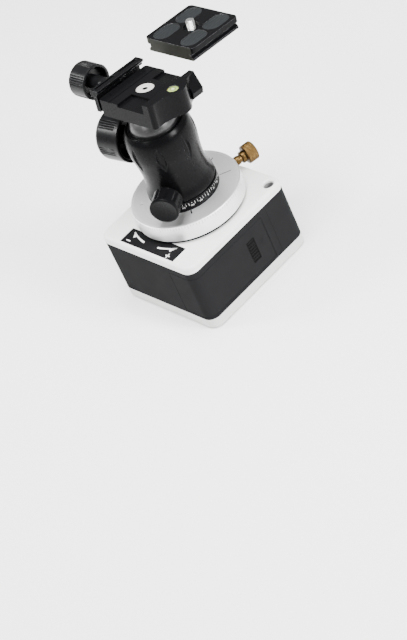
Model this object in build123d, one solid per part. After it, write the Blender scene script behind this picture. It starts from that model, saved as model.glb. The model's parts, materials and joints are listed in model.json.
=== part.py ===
"""Star tracker mount: a battery-driven equatorial drive with a ball head and a quick release clamp.

Millimetres. +Z is the polar (right ascension) axis. The origin is on that axis, at the mouth of the
tripod thread in the bottom face. -Y is the labelled front, +X is the battery door's side.
"""

import os
from math import cos, degrees, pi, radians, sin, tan

from build123d import *

# ---- driving dimensions ---------------------------------------------------------------------
# housing
BOX_X = 95.2
BOX_Y = 100.0
BOX_CENTRE_Y = -2.9  # the polar axis stands a little behind the middle of the box
CORNER_R = 8.0
EDGE_R = 2.6
BASE_TOP = 9.0
BAND_TOP = 53.0
LID_TOP = 58.6
WALL = 2.4
GAP = 0.3  # clearance between parts that move apart
FIT = 0.01  # a press fit, on the radius
EASY_FIT = 0.02  # a push fit, on the radius
RUNNING_FIT = 0.08  # a turning or sliding fit, on the radius

# polar axis drive
DISC_R = 40.7
DISC_BOTTOM = 61.0
DISC_TOP = 73.7
SHAFT_R = 6.0
SHAFT_BOTTOM = 17.0
FLANGE_R = 17.5
FLANGE_BOTTOM = 51.6
TOWER_R = 14.2
BEARING_OUTER_R = 12.0
BEARING_W = 6.0
BEARING_BOTTOMS = (17.0, 36.0)
STUD_R = 4.7
MODULE = 0.9
WHEEL_TEETH = 72
WHEEL_BOTTOM = 46.0
WHEEL_TOP = 51.0
WORM_PITCH_R = 4.6
WORM_TIP_R = 5.35
WORM_CORE_R = 3.4
SPUR_MODULE = 0.5
WORM_GEAR_TEETH = 26
PINION_TEETH = 22

# ball head
RING_TOP = 81.0
RING_R = 25.5
HEAD_BOTTOM = 81.4
HEAD_TOP = 136.6
BALL_Z = 133.0
BALL_R = 18.0
MOUTH_R = 20.0
HEAD_TURN = 8.0  # degrees the head is panned
LOCK_KNOB_Z = 118.0
LOCK_KNOB_R = 19.0
PAN_KNOB_Z = 89.0
PAN_KNOB_R = 10.5
PAN_KNOB_ANGLE = -60.0
BALL_TILT = 9.3  # degrees, toward +Y
CLAMP_SPIN = 3.5  # degrees about the tilted stem

# clamp: local X runs across the jaws, local Y along them, local Z up from the clamping floor
FLOOR_HEIGHT = 30.5  # from the ball's centre
CLAMP_DEPTH = 12.5
CLAMP_FRONT = -25.0
CLAMP_BACK = 22.8
CLAMP_LEFT = -21.0
JAW_TOP = 5.2
FIXED_LIP_X = 22.6
OPEN_LIP_X = -21.4
LIP_H = 1.6
CLAMP_SCREW_Z = -7.0
CLAMP_KNOB_R = 12.8

# quick release plate
PLATE_X = 46.0
PLATE_Y = 47.0
FLANGE_X = 42.0  # the dovetail, below the plate's wider top
PLATE_H = 10.0
GROOVE = 2.0
FLOAT = (-1.0, 54.4, 6.7)  # where it hovers before it is put in

# ---- placed frames --------------------------------------------------------------------------
BOX_FRONT = BOX_CENTRE_Y - BOX_Y / 2
BOX_BACK = BOX_CENTRE_Y + BOX_Y / 2
BOX_RIGHT = BOX_X / 2
CENTRE = Vector(0, 0, BALL_Z)
STEM = Vector(0, sin(radians(BALL_TILT)), cos(radians(BALL_TILT)))
ACROSS = Vector(1, 0, 0).rotate(Axis((0, 0, 0), STEM), CLAMP_SPIN)
CLAMP_PLANE = Plane(origin=CENTRE + STEM * FLOOR_HEIGHT, x_dir=ACROSS, z_dir=STEM)
STEM_PLANE = Plane(origin=CENTRE, x_dir=ACROSS, z_dir=STEM)
PLATE_PLANE = Plane(origin=CLAMP_PLANE.from_local_coords(FLOAT), x_dir=ACROSS, z_dir=STEM)
WORM_X = -(MODULE * WHEEL_TEETH / 2 + WORM_PITCH_R)
WORM_Z = (WHEEL_BOTTOM + WHEEL_TOP) / 2
PINION_Z = WORM_Z - SPUR_MODULE * (WORM_GEAR_TEETH + PINION_TEETH) / 2

BASE = (Align.CENTER, Align.CENTER, Align.MIN)  # a solid that stands on its own origin


# ---- helpers --------------------------------------------------------------------------------
def block(x0, x1, y0, y1, z0, z1):
    """A box between two corners."""
    return Pos((x0 + x1) / 2, (y0 + y1) / 2, (z0 + z1) / 2) * Box(x1 - x0, y1 - y0, z1 - z0)


def rod(r, z0, z1, x=0.0, y=0.0):
    """An upright cylinder."""
    return Pos(x, y, (z0 + z1) / 2) * Cylinder(r, z1 - z0)


def ring(outer, inner, z0, z1, x=0.0, y=0.0):
    return rod(outer, z0, z1, x, y) - rod(inner, z0 - 1, z1 + 1, x, y)


def along(plane, shape):
    """A shape made on the local axes, moved onto a plane."""
    return plane.location * shape


def radial_plane(angle, z, distance=0.0):
    """Local Z points outward from the polar axis at an angle, local Y is up."""
    out = Vector(cos(radians(angle)), sin(radians(angle)), 0)
    return Plane(origin=out * distance + Vector(0, 0, z), x_dir=Vector(0, 0, 1).cross(out), z_dir=out)


def rounded(half_x, half_y, corner, z0, z1, y=0.0):
    """An upright prism with round corners."""
    outline = RectangleRounded(2 * half_x, 2 * half_y, corner)
    return Pos(0, y, z0) * extrude(outline, z1 - z0)


def shell(inset, z0, z1):
    """The housing's outline, moved inward by an inset."""
    return rounded(BOX_X / 2 - inset, BOX_Y / 2 - inset, CORNER_R - inset, z0, z1, BOX_CENTRE_Y)


def top_edges(shape):
    return shape.edges().group_by(Axis.Z)[-1]


def bottom_edges(shape):
    return shape.edges().group_by(Axis.Z)[0]


def fluted(r, height, flutes, depth, width_share=0.5):
    """A knob's ribbed barrel on local Z, with evenly spaced shallow grooves."""
    barrel = Cylinder(r, height, align=BASE)
    groove_r = pi * r / flutes * width_share
    for i in range(flutes):
        turn = 2 * pi * i / flutes
        reach = r + groove_r - depth
        barrel -= Pos(reach * cos(turn), reach * sin(turn), 0) * Cylinder(
            groove_r, height, align=BASE
        )
    return barrel


def grouped(shapes):
    return Compound(children=[s for shape in shapes for s in shape.solids()])


def gear_face(teeth, module, tip_share, root_share, turn=0.0):
    """A spur gear's outline. The shares are half widths of a tooth, as parts of the tooth pitch."""
    pitch_r = module * teeth / 2
    points = []
    for i in range(teeth):
        centre = 2 * pi * i / teeth + turn
        step = 2 * pi / teeth
        root, tip = pitch_r - 1.25 * module, pitch_r + 0.95 * module
        for r, share in ((root, -root_share), (tip, -tip_share), (tip, tip_share), (root, root_share)):
            angle = centre + share * step
            points.append((r * cos(angle), r * sin(angle)))
    return make_face(Polyline(*points, close=True))


# ---- housing --------------------------------------------------------------------------------
# each screw post: X, Y and the direction of the web that joins it to the wall
SCREW_POSTS = [(-39.6, -44.9, -135), (-39.6, 39.1, 135), (8.0, -47.1, -90), (29.0, 41.2, 90)]
SIGHT = (40.2, 38.9)
SIGHT_BORE_R = 3.9
SIGHT_TUBE_R = 4.9
DOOR_BACK = 17.2
DOOR_LOW = 11.6
DOOR_HIGH = 47.6
DOOR_FRONT_X = 22.0
DOOR_T = 1.9
LABEL = (-26.6, 28.6, -50.2, -36.2)
LABEL_T = 0.8
LID_BORE_R = 18.4
INSERT_R = 4.0
INSERT_NECK_R = 6.0
INSERT_NECK_H = 3.0
INSERT_FLANGE_R = 11.0
INSERT_TOP = 8.4
POST_R = 3.6
POST_HOLE_R = 1.4
POST_CLEAR_R = 1.7
SCREW_SINK_R = 3.1
SCREW_HEAD_R = 2.8
SCREW_HEAD_TOP = 2.0
SCREW_TOP = 24.0
SOCKET_WALL = 1.6  # round each end of the sight tube
SOCKET_FLOOR = 1.6
LID_T = 2.6
LID_SOCKET_T = 2.4  # left above the sight tube and the screw bosses
PAD_SUNK = 0.5  # the ribbed finger pad on the battery door
DOOR_PAD = (-2.0, 5.5, 20.5, 39.2)
DOOR_RIBS = 7


def door_zone(clearance):
    """The space of the battery door: most of the +X side and round the front corner."""
    return block(
        DOOR_FRONT_X - clearance, BOX_RIGHT + 1, BOX_FRONT - 1, DOOR_BACK + clearance,
        DOOR_LOW - clearance, DOOR_HIGH + clearance,
    )


def bottom_cover():
    tray = shell(0, 0, BASE_TOP)
    tray = fillet(bottom_edges(tray), EDGE_R)
    tray -= shell(WALL, WALL, BASE_TOP + 1)
    for x, y, _ in SCREW_POSTS:
        tray += rod(POST_R, WALL, BASE_TOP, x, y)
        tray -= rod(POST_CLEAR_R, -1, BASE_TOP + 1, x, y)
        tray -= rod(SCREW_SINK_R, -1, SCREW_HEAD_TOP, x, y)
    tray += rod(SIGHT_TUBE_R + SOCKET_WALL, WALL, 6.0, *SIGHT)
    tray -= rod(SIGHT_TUBE_R + EASY_FIT, SOCKET_FLOOR, BASE_TOP + 1, *SIGHT)
    tray -= rod(SIGHT_BORE_R, -1, WALL + 1, *SIGHT)
    tray += rod(INSERT_FLANGE_R + 3, WALL, INSERT_TOP + 0.2)
    tray -= rod(INSERT_NECK_R, -1, BASE_TOP)
    return tray - rod(INSERT_FLANGE_R + EASY_FIT, INSERT_NECK_H, BASE_TOP + 1)


def middle_housing():
    band = shell(0, BASE_TOP, BAND_TOP) - shell(WALL, BASE_TOP - 1, BAND_TOP + 1)
    for x, y, web_angle in SCREW_POSTS:
        height = BAND_TOP - BASE_TOP
        web = Rot(0, 0, web_angle) * Pos(3.5, 0, 0) * Box(7.0, 2.6, height)
        post = rod(POST_R, BASE_TOP, BAND_TOP, x, y) + Pos(x, y, BASE_TOP + height / 2) * web
        band += post & shell(0.5, BASE_TOP, BAND_TOP)
        band -= rod(POST_HOLE_R, BASE_TOP - 1, BAND_TOP + 1, x, y)
    band -= door_zone(GAP)
    for x, z0, z1, half in PORTS:
        band -= block(x - half, x + half, BOX_BACK - WALL - 1, BOX_BACK + 1, z0, z1)
    band -= Pos(LED_X, BOX_BACK - 2, LED_Z) * Rot(90, 0, 0) * Cylinder(1.55, 10)
    band -= Pos(JACK_X, BOX_BACK - 2, JACK_Z) * Rot(90, 0, 0) * Cylinder(JACK_R + 0.05, 10)
    return band


def top_cover():
    lid = shell(0, BAND_TOP, LID_TOP)
    lid = fillet(top_edges(lid), EDGE_R)
    lid -= shell(WALL, BAND_TOP - 1, LID_TOP - LID_T)
    for x, y, _ in SCREW_POSTS:
        lid += rod(POST_R, BAND_TOP, LID_TOP - 2, x, y)
        lid -= rod(1.25, BAND_TOP - 1, LID_TOP - LID_SOCKET_T, x, y)
    lid -= rod(LID_BORE_R, BAND_TOP, LID_TOP + 1)
    lid -= block(LABEL[0], LABEL[1], LABEL[2], LABEL[3], LID_TOP - LABEL_T, LID_TOP + 1)
    lid += rod(SIGHT_TUBE_R + SOCKET_WALL, BAND_TOP, LID_TOP - 1, *SIGHT)
    lid -= rod(SIGHT_TUBE_R + EASY_FIT, BAND_TOP - 1, LID_TOP - LID_SOCKET_T, *SIGHT)
    lid -= rod(SIGHT_BORE_R, BAND_TOP, LID_TOP + 1, *SIGHT)
    lid -= Pos(*SIGHT, LID_TOP - 0.5) * Cone(SIGHT_BORE_R, SIGHT_BORE_R + 1.0, 1.0)
    return lid


def label_plate():
    return block(
        LABEL[0] + 0.1, LABEL[1] - 0.1, LABEL[2] + 0.1, LABEL[3] - 0.1, LID_TOP - LABEL_T, LID_TOP
    )


def battery_door():
    skin = shell(0, DOOR_LOW, DOOR_HIGH) - shell(DOOR_T, DOOR_LOW - 1, DOOR_HIGH + 1)
    door = skin & door_zone(0)
    y0, y1, z0, z1 = DOOR_PAD
    door -= block(BOX_RIGHT - PAD_SUNK, BOX_RIGHT + 1, y0, y1, z0, z1)
    rib_pitch = (z1 - z0 - 1.3) / DOOR_RIBS
    for i in range(DOOR_RIBS):
        z = z0 + 1.9 + i * rib_pitch
        door += block(BOX_RIGHT - PAD_SUNK - 0.1, BOX_RIGHT - 0.05, y0 + 0.8, y1 - 0.8, z, z + 0.9)
    return door


def sight_tube():
    return ring(SIGHT_TUBE_R, SIGHT_BORE_R, SOCKET_FLOOR, LID_TOP - LID_SOCKET_T, *SIGHT)


def housing_screws():
    screws = []
    for x, y, _ in SCREW_POSTS:
        head = rod(SCREW_HEAD_R, 0.3, SCREW_HEAD_TOP, x, y) - rod(1.0, 0, 1.2, x, y)
        screws.append(head + rod(POST_HOLE_R - 0.2, SCREW_HEAD_TOP - 0.1, SCREW_TOP, x, y))
    return grouped(screws)


def tripod_insert():
    insert = rod(INSERT_NECK_R - EASY_FIT, 0, INSERT_NECK_H)
    insert += rod(INSERT_FLANGE_R, INSERT_NECK_H, INSERT_TOP)
    return insert - rod(INSERT_R, -1, INSERT_TOP + 1)


# ---- frame, shaft and bearings --------------------------------------------------------------
FRAME_LOW = 9.4
FRAME_TOP = 12.4
TOWER_TOP = 44.5


def frame():
    """The aluminium base plate with the bearing tower, which carries everything inside."""
    body = shell(WALL + 1.2, FRAME_LOW, FRAME_TOP)
    for x, y, _ in SCREW_POSTS:
        body -= block(x - 9, x + 9, y - 6, y + 6, FRAME_LOW - 1, FRAME_TOP + 1)
    body -= rod(SIGHT_TUBE_R + 0.6, FRAME_LOW - 1, FRAME_TOP + 1, *SIGHT)
    body += rod(TOWER_R, FRAME_LOW, TOWER_TOP)
    body -= rod(SHAFT_R + 1.5, FRAME_LOW - 1, TOWER_TOP + 1)
    low, high = BEARING_BOTTOMS
    body -= rod(BEARING_OUTER_R + FIT, FRAME_LOW - 1, low + BEARING_W)
    return body - rod(BEARING_OUTER_R + FIT, high, TOWER_TOP + 1)


NUT_THREAD_R = 4.0
NUT_BOTTOM = 14.1


def bearing_outer_rings():
    return grouped([ring(BEARING_OUTER_R, 10.2, z, z + BEARING_W) for z in BEARING_BOTTOMS])


def bearing_inner_rings():
    return grouped([ring(7.8, SHAFT_R + 0.02, z, z + BEARING_W) for z in BEARING_BOTTOMS])


def bearing_balls():
    balls = []
    for z in BEARING_BOTTOMS:
        for i in range(12):
            turn = 2 * pi * i / 12
            balls.append(Pos(9.0 * cos(turn), 9.0 * sin(turn), z + BEARING_W / 2) * Sphere(1.0))
    return grouped(balls)


def polar_shaft():
    shaft = rod(SHAFT_R, SHAFT_BOTTOM, FLANGE_BOTTOM + 1) + rod(FLANGE_R, FLANGE_BOTTOM, DISC_BOTTOM)
    shaft += rod(NUT_THREAD_R, NUT_BOTTOM - 0.3, SHAFT_BOTTOM + 1)
    shaft += rod(8.0, 42.6, 45.6)
    return shaft - rod(STUD_R + 0.02, 48, DISC_BOTTOM + 1)


def shaft_nut():
    nut = extrude(RegularPolygon(7.0, 6), SHAFT_BOTTOM - NUT_BOTTOM)
    return Pos(0, 0, NUT_BOTTOM) * nut - rod(NUT_THREAD_R + 0.02, NUT_BOTTOM - 1, SHAFT_BOTTOM + 1)


def worm_wheel():
    width = WHEEL_TOP - WHEEL_BOTTOM
    lead_slope = MODULE / (2 * WORM_PITCH_R)
    twist = degrees(width * lead_slope / (MODULE * WHEEL_TEETH / 2))
    # a space between teeth faces the worm, at -X
    turn = pi + pi / WHEEL_TEETH - radians(twist) / 2
    blank = gear_face(WHEEL_TEETH, MODULE, 0.11, 0.27, turn)
    upper = Pos(0, 0, WHEEL_TOP) * Rot(0, 0, twist) * blank
    wheel = loft([Pos(0, 0, WHEEL_BOTTOM) * blank, upper], ruled=True)
    wheel -= rod(SHAFT_R + 0.02, WHEEL_BOTTOM - 1, WHEEL_TOP + 1)
    for i in range(6):
        turn = pi / 6 + i * pi / 3
        wheel -= rod(5.2, WHEEL_BOTTOM - 1, WHEEL_TOP + 1, 20.5 * cos(turn), 20.5 * sin(turn))
    wheel += ring(10.5, SHAFT_R + 0.02, WHEEL_TOP - 0.5, FLANGE_BOTTOM)
    return wheel


WORM_HALF = 8.0
WORM_SHAFT_R = 2.0
WORM_BEARING_R = 4.0
BRACKET_YS = (-13.0, 13.0)
BRACKET_T = 4.0
WORM_FRAME = Plane(origin=(WORM_X, 0, WORM_Z), x_dir=(1, 0, 0), z_dir=(0, 1, 0))
PINION_FRAME = Plane(origin=(WORM_X, 0, PINION_Z), x_dir=(1, 0, 0), z_dir=(0, 1, 0))
SPUR_Y = 19.0
SPUR_W = 4.0
MOTOR_R = 6.2


def worm():
    lead = pi * MODULE
    turns = 4
    height = turns * lead
    path = Helix(pitch=lead, height=height, radius=WORM_PITCH_R)
    low = WORM_CORE_R - 0.15
    flank = tan(radians(20))
    half_mid = 0.43
    half_low = half_mid + flank * (WORM_PITCH_R - low)
    half_tip = half_mid - flank * (WORM_TIP_R - WORM_PITCH_R)
    profile = make_face(
        Polyline((low, 0, -half_low), (WORM_TIP_R, 0, -half_tip), (WORM_TIP_R, 0, half_tip),
                 (low, 0, half_low), close=True)
    )
    thread = sweep(profile, path=path, is_frenet=True)
    core = Pos(0, 0, -WORM_HALF) * Cylinder(WORM_CORE_R, 2 * WORM_HALF, align=BASE)
    body = core + Pos(0, 0, -height / 2) * thread
    body += Pos(0, 0, 2.5) * Cylinder(WORM_SHAFT_R, 41)
    return along(WORM_FRAME, body)


def spur(teeth, turn, bore, width=SPUR_W):
    gear = extrude(gear_face(teeth, SPUR_MODULE, 0.13, 0.27, turn), width)
    return gear - Cylinder(bore, 40)


def worm_gear():
    # a tooth points down at the pinion
    gear = spur(WORM_GEAR_TEETH, pi / 2, WORM_SHAFT_R + 0.02)
    return along(WORM_FRAME, Pos(0, 0, SPUR_Y) * gear)


def motor_pinion():
    # a space faces up at the worm gear's tooth
    gear = spur(PINION_TEETH, -pi / 2 + pi / PINION_TEETH, 0.8, SPUR_W)
    shaft = Pos(0, 0, 8.0) * Cylinder(1.0, 15.0, align=BASE)
    return along(PINION_FRAME, Pos(0, 0, SPUR_Y) * gear + shaft)


def worm_bracket():
    """Two ears on a foot hold the worm's bearings, beside the tower."""
    foot_z = FRAME_TOP
    bracket = block(WORM_X - 5.5, WORM_X + 8.5, -16, 16, foot_z, foot_z + 3)
    for y in BRACKET_YS:
        y0, y1 = y - BRACKET_T / 2, y + BRACKET_T / 2
        bracket += block(WORM_X - 7.9, WORM_X + 8.2, y0, y1, foot_z, WHEEL_BOTTOM - 1.6)
        bracket += block(WORM_X - 5.5, WORM_X + 4.6, y0, y1, foot_z, WORM_Z + 5.4)
        bracket -= Pos(WORM_X, y, WORM_Z) * Rot(90, 0, 0) * Cylinder(WORM_BEARING_R + 0.01, 10)
        bracket -= Pos(WORM_X, y, PINION_Z) * Rot(90, 0, 0) * Cylinder(1.6, 10)
    bracket -= Pos(WORM_X, BRACKET_YS[0], PINION_Z) * Rot(90, 0, 0) * Cylinder(MOTOR_R + 0.3, 10)
    return bracket


def worm_bearings():
    rings = []
    for y in BRACKET_YS:
        sleeve = Cylinder(WORM_BEARING_R, BRACKET_T) - Cylinder(WORM_SHAFT_R + 0.05, 20)
        rings.append(along(WORM_FRAME, Pos(0, 0, y) * sleeve))
    return grouped(rings)


def drive_motor():
    body = Pos(0, 0, -21) * Cylinder(MOTOR_R, 31.6, align=BASE)
    body -= Cylinder(1.3, 80)
    return along(PINION_FRAME, body)


# ---- power and electronics ------------------------------------------------------------------
CELL_R = 7.2
CELL_LENGTH = 50.0
CELL_XS = (22.9, 37.5)
CELL_ZS = (21.6, 36.4)
CELL_FRONT = -44.0
BOARD_Y = 34.0
BOARD_T = 1.6
LED_X, LED_Z = -2.0, 31.0
JACK_X, JACK_Z, JACK_R = -20.0, 24.0, 4.2
# each slot in the back wall: its middle, its ends in Z, its half width
POWER_SLOT = (8.0, 24.0, 38.0, 2.6)
HEMISPHERE_SLOT = (20.0, 26.0, 36.0, 2.6)
PORTS = [POWER_SLOT, HEMISPHERE_SLOT]


def battery_tray():
    x0, x1 = CELL_XS[0] - CELL_R - 0.9, CELL_XS[1] + CELL_R + 0.3
    y0, y1 = CELL_FRONT - 3.2, CELL_FRONT + CELL_LENGTH + 3.2
    z0, z1 = CELL_ZS[0] - CELL_R - 1.4, CELL_ZS[1] + CELL_R + 1.4
    tray = block(x0, x1, y0, y1, z0, z1)
    tray -= block(x0 + 0.7, x1 + 1, y0 + 1.2, y1 - 1.2, z0 + 1.2, z1 - 1.2)
    tray += block(CELL_XS[0] + 5, CELL_XS[0] + 8, y0 + 20, y0 + 24, z0 + 1, z0 + 2.4)
    return tray


def battery_cells():
    cells = []
    for i, x in enumerate(CELL_XS):
        for k, z in enumerate(CELL_ZS):
            can = Pos(0, 0, 0.9) * Cylinder(CELL_R, CELL_LENGTH - 2.4, align=BASE)
            can += Pos(0, 0, CELL_LENGTH - 1.6) * Cylinder(2.7, 1.6, align=BASE)
            flip = (i + k) % 2
            seat = Plane(
                origin=(x, CELL_FRONT + (CELL_LENGTH if flip else 0), z),
                x_dir=(1, 0, 0), z_dir=(0, -1 if flip else 1, 0),
            )
            cells.append(along(seat, can))
    return grouped(cells)


def battery_contacts():
    plates = []
    y0, y1 = CELL_FRONT - 2.0, CELL_FRONT + CELL_LENGTH + 2.0
    for x in CELL_XS:
        plates.append(block(x - 5, x + 5, y0, y0 + 0.4, CELL_ZS[0] - 5, CELL_ZS[1] + 5))
        for z in CELL_ZS:
            plates.append(block(x - 5, x + 5, y1 - 0.4, y1, z - 5, z + 5))
    return grouped(plates)


def circuit_board():
    board = block(-38, 30, BOARD_Y, BOARD_Y + BOARD_T, 14.0, 45.0)
    for x, z, w, h, t in ((-24, 36, 10, 10, 1.6), (-8, 38, 7, 5, 1.4), (4, 18, 12, 4, 3.0)):
        board += block(x - w / 2, x + w / 2, BOARD_Y - t, BOARD_Y + 0.2, z - h / 2, z + h / 2)
    for x in (-34, -12):
        board += Pos(x, BOARD_Y - 3, 20) * Rot(90, 0, 0) * Cylinder(2.5, 7)
    return board


def switch_bodies():
    shapes = []
    for x, z0, z1, _ in PORTS:
        mid = (z0 + z1) / 2
        case = block(x - 3.5, x + 3.5, BOARD_Y + BOARD_T, 41.4, mid - 8, mid + 8)
        case -= block(x - 1.9, x + 1.9, 38.0, 42, mid - 6.6, mid + 6.6)
        shapes.append(case)
    return grouped(shapes)


def slide_button(slot, rest_end):
    """A slide switch's button, at one end of its slot."""
    x, z0, z1, half = slot
    thumb_h = (z1 - z0) / 2 - 0.5
    z = z0 + 0.4 if rest_end == "low" else z1 - 0.4 - thumb_h
    button = block(x - half + 0.3, x + half - 0.3, 42.0, BOX_BACK + 0.9, z, z + thumb_h)
    stem_z = z + thumb_h / 2
    button += block(x - 1.5, x + 1.5, 38.4, 43.0, stem_z - 1.5, stem_z + 1.5)
    for i in range(3):
        rib = stem_z + (i - 1) * 1.3
        button -= block(x - half, x + half, BOX_BACK + 0.5, BOX_BACK + 2, rib - 0.3, rib + 0.3)
    return button


def dc_jack():
    jack = Pos(JACK_X, (BOARD_Y + BOARD_T + BOX_BACK) / 2, JACK_Z) * Rot(90, 0, 0) * Cylinder(
        JACK_R, BOX_BACK - BOARD_Y - BOARD_T
    )
    jack -= Pos(JACK_X, BOX_BACK, JACK_Z) * Rot(90, 0, 0) * Cylinder(2.8, 14)
    jack += Pos(JACK_X, BOX_BACK - 5.0, JACK_Z) * Rot(90, 0, 0) * Cylinder(0.9, 8)
    return jack


def status_light():
    return Pos(LED_X, (BOARD_Y + BOARD_T + BOX_BACK + 0.6) / 2, LED_Z) * Rot(90, 0, 0) * Cylinder(
        1.5, BOX_BACK + 0.6 - BOARD_Y - BOARD_T
    )


# ---- turntable ------------------------------------------------------------------------------
THUMB_ANGLE = 77.0
THUMB_Z = 67.4
THUMB_SHAFT_R = 2.2
MARK_ANGLE = 55.0
INDEX_ANGLE = -36.0


def turntable_disc():
    disc = rod(DISC_R, DISC_BOTTOM, DISC_TOP)
    disc = chamfer(top_edges(disc) + bottom_edges(disc), 0.5)
    disc -= rod(STUD_R + 0.02, DISC_BOTTOM - 1, DISC_TOP + 1)
    for angle, reach in ((100.5, 32.5), (-129.0, 32.5)):
        x, y = reach * cos(radians(angle)), reach * sin(radians(angle))
        disc -= rod(0.9, DISC_TOP - 3, DISC_TOP + 1, x, y)
    mark = block(26.5, 33.0, -0.25, 0.25, DISC_TOP - 0.3, DISC_TOP + 1)
    disc -= Rot(0, 0, MARK_ANGLE) * mark
    index = block(26.0, 29.0, -0.4, 0.4, DISC_TOP - 0.3, DISC_TOP + 1)
    disc -= Rot(0, 0, INDEX_ANGLE) * index
    hole = Cylinder(THUMB_SHAFT_R + 0.06, 14.0, align=BASE)
    disc -= along(radial_plane(THUMB_ANGLE, THUMB_Z, DISC_R - 12.5), hole)
    return disc


def thumbscrew():
    shaft = Cylinder(THUMB_SHAFT_R, 21.5, align=BASE)
    shoulder = Pos(0, 0, 20.0) * Cylinder(4.4, 2.6, align=BASE)
    head = Pos(0, 0, 22.4) * fluted(7.1, 7.6, 30, 0.45, 0.42)
    return along(radial_plane(THUMB_ANGLE, THUMB_Z, DISC_R - 12.0), shaft + shoulder + head)


def dust_seal():
    return ring(LID_BORE_R + 5.0, LID_BORE_R + 0.2, LID_TOP, LID_TOP + 1.8)


# ---- ball head ------------------------------------------------------------------------------
SPINDLE_R = 13.0
SPINDLE_TOP = 95.0
RETAINER_TOP = 97.6
CAVITY_R = 17.0
CAVITY_TOP = 103.5
SEAT_TOP = 128.0
HEAD_FOOT_R = 25.2
HEAD_RIM_R = 21.2
HEAD_PROFILE = [
    (25.1, 84.2), (23.3, 91.0), (22.9, 100.0), (23.8, 110.0), (25.0, 119.0), (24.9, 126.5), (23.6, 132.5),
]
LOCK_ANGLE = 180.0 + HEAD_TURN
LOCK_KNOB_NEAR = 26.4
LOCK_KNOB_LENGTH = 20.9
LOCK_SCREW_R = 3.0
PAN_KNOB_NEAR = 21.2
PAN_KNOB_LENGTH = 18.5
PAN_NECK_R = 6.0
PAN_NECK_LENGTH = 5.0
PAN_GRIPS = 12
PAN_SCREW_R = 2.0
# flutes on the head: angle, middle height, half height, lean in degrees
FLUTES = [
    (2, 120.0, 10.5, 0), (-46, 120.0, 10.5, 0), (-92, 121.0, 9.0, 0), (50, 120.0, 10.5, 0),
    (98, 120.0, 10.5, 0), (142, 120.0, 10.5, 0),
]
FLUTE_HALF_WIDTH = 2.7
FLUTE_FLOOR_R = 23.2


def pan_base():
    base = rod(RING_R, DISC_TOP, RING_TOP)
    base = chamfer(top_edges(base), 0.4)
    base += rod(SPINDLE_R, RING_TOP - 1, SPINDLE_TOP)
    return base - rod(STUD_R + 0.02, DISC_TOP - 1, 90.0)


def mounting_stud():
    return rod(STUD_R, 49.0, 89.0)


def pan_retainer():
    washer = rod(SPINDLE_R + 2.6, SPINDLE_TOP, RETAINER_TOP)
    return washer + rod(4.4, RETAINER_TOP - 0.5, RETAINER_TOP + 2.6)


def pan_washer():
    return ring(RING_R - 3.0, SPINDLE_R + 0.3, RING_TOP, HEAD_BOTTOM)


def head_housing():
    foot = (HEAD_FOOT_R, HEAD_BOTTOM + 0.6)
    rim = (HEAD_RIM_R, HEAD_TOP)
    bottom = Polyline((0, HEAD_BOTTOM), (HEAD_FOOT_R - 0.6, HEAD_BOTTOM), foot)
    side = Spline(foot, *HEAD_PROFILE, rim, tangents=[(0, 1), (-1, 0.5)])
    top = Polyline(rim, (0, HEAD_TOP), (0, HEAD_BOTTOM))
    section = make_face(bottom + side + top)
    body = revolve(Plane.XZ * section, Axis.Z)
    body -= rod(SPINDLE_R + 0.08, HEAD_BOTTOM - 1, SPINDLE_TOP)
    body -= rod(CAVITY_R, SPINDLE_TOP - 0.4, CAVITY_TOP)
    body -= rod(MOUTH_R, CAVITY_TOP + 1.5, HEAD_TOP + 1)
    body -= rod(10.0, CAVITY_TOP - 1, CAVITY_TOP + 3)
    for angle, z, half, lean in FLUTES:
        body -= flute(angle, z, half, lean)
    hole = Cylinder(LOCK_SCREW_R + 0.08, 40, align=BASE)
    body -= along(radial_plane(LOCK_ANGLE, LOCK_KNOB_Z), hole)
    pocket = Cylinder(PAN_NECK_R + 0.5, 30, align=BASE)
    body -= along(radial_plane(PAN_KNOB_ANGLE, PAN_KNOB_Z, PAN_KNOB_NEAR - 0.4), pocket)
    pan_hole = Cylinder(PAN_SCREW_R + 0.08, 30, align=BASE)
    body -= along(radial_plane(PAN_KNOB_ANGLE, PAN_KNOB_Z), pan_hole)
    return body


def flute(angle, z, half, lean):
    """A leaf-shaped groove cut into the head's side."""
    left = ThreePointArc((0, -half), (-FLUTE_HALF_WIDTH, 0), (0, half))
    right = ThreePointArc((0, half), (FLUTE_HALF_WIDTH, 0), (0, -half))
    leaf = extrude(make_face(left + right), 6.0)
    return along(radial_plane(angle, z, FLUTE_FLOOR_R), Rot(0, 0, lean) * leaf)


def ball_seat():
    seat = rod(MOUTH_R - 0.04, CAVITY_TOP + 1.5, SEAT_TOP)
    seat -= Pos(0, 0, BALL_Z) * Sphere(BALL_R + GAP)
    hole = Cylinder(LOCK_SCREW_R + 0.5, 14, align=BASE)
    seat -= along(radial_plane(LOCK_ANGLE, LOCK_KNOB_Z, 14.5), hole)
    return seat


def ball_collar():
    """The ring screwed into the mouth, which keeps the ball in."""
    collar = rod(MOUTH_R - 0.04, SEAT_TOP, HEAD_TOP - 0.6)
    return collar - Pos(0, 0, BALL_Z) * Sphere(BALL_R + GAP)


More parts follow.
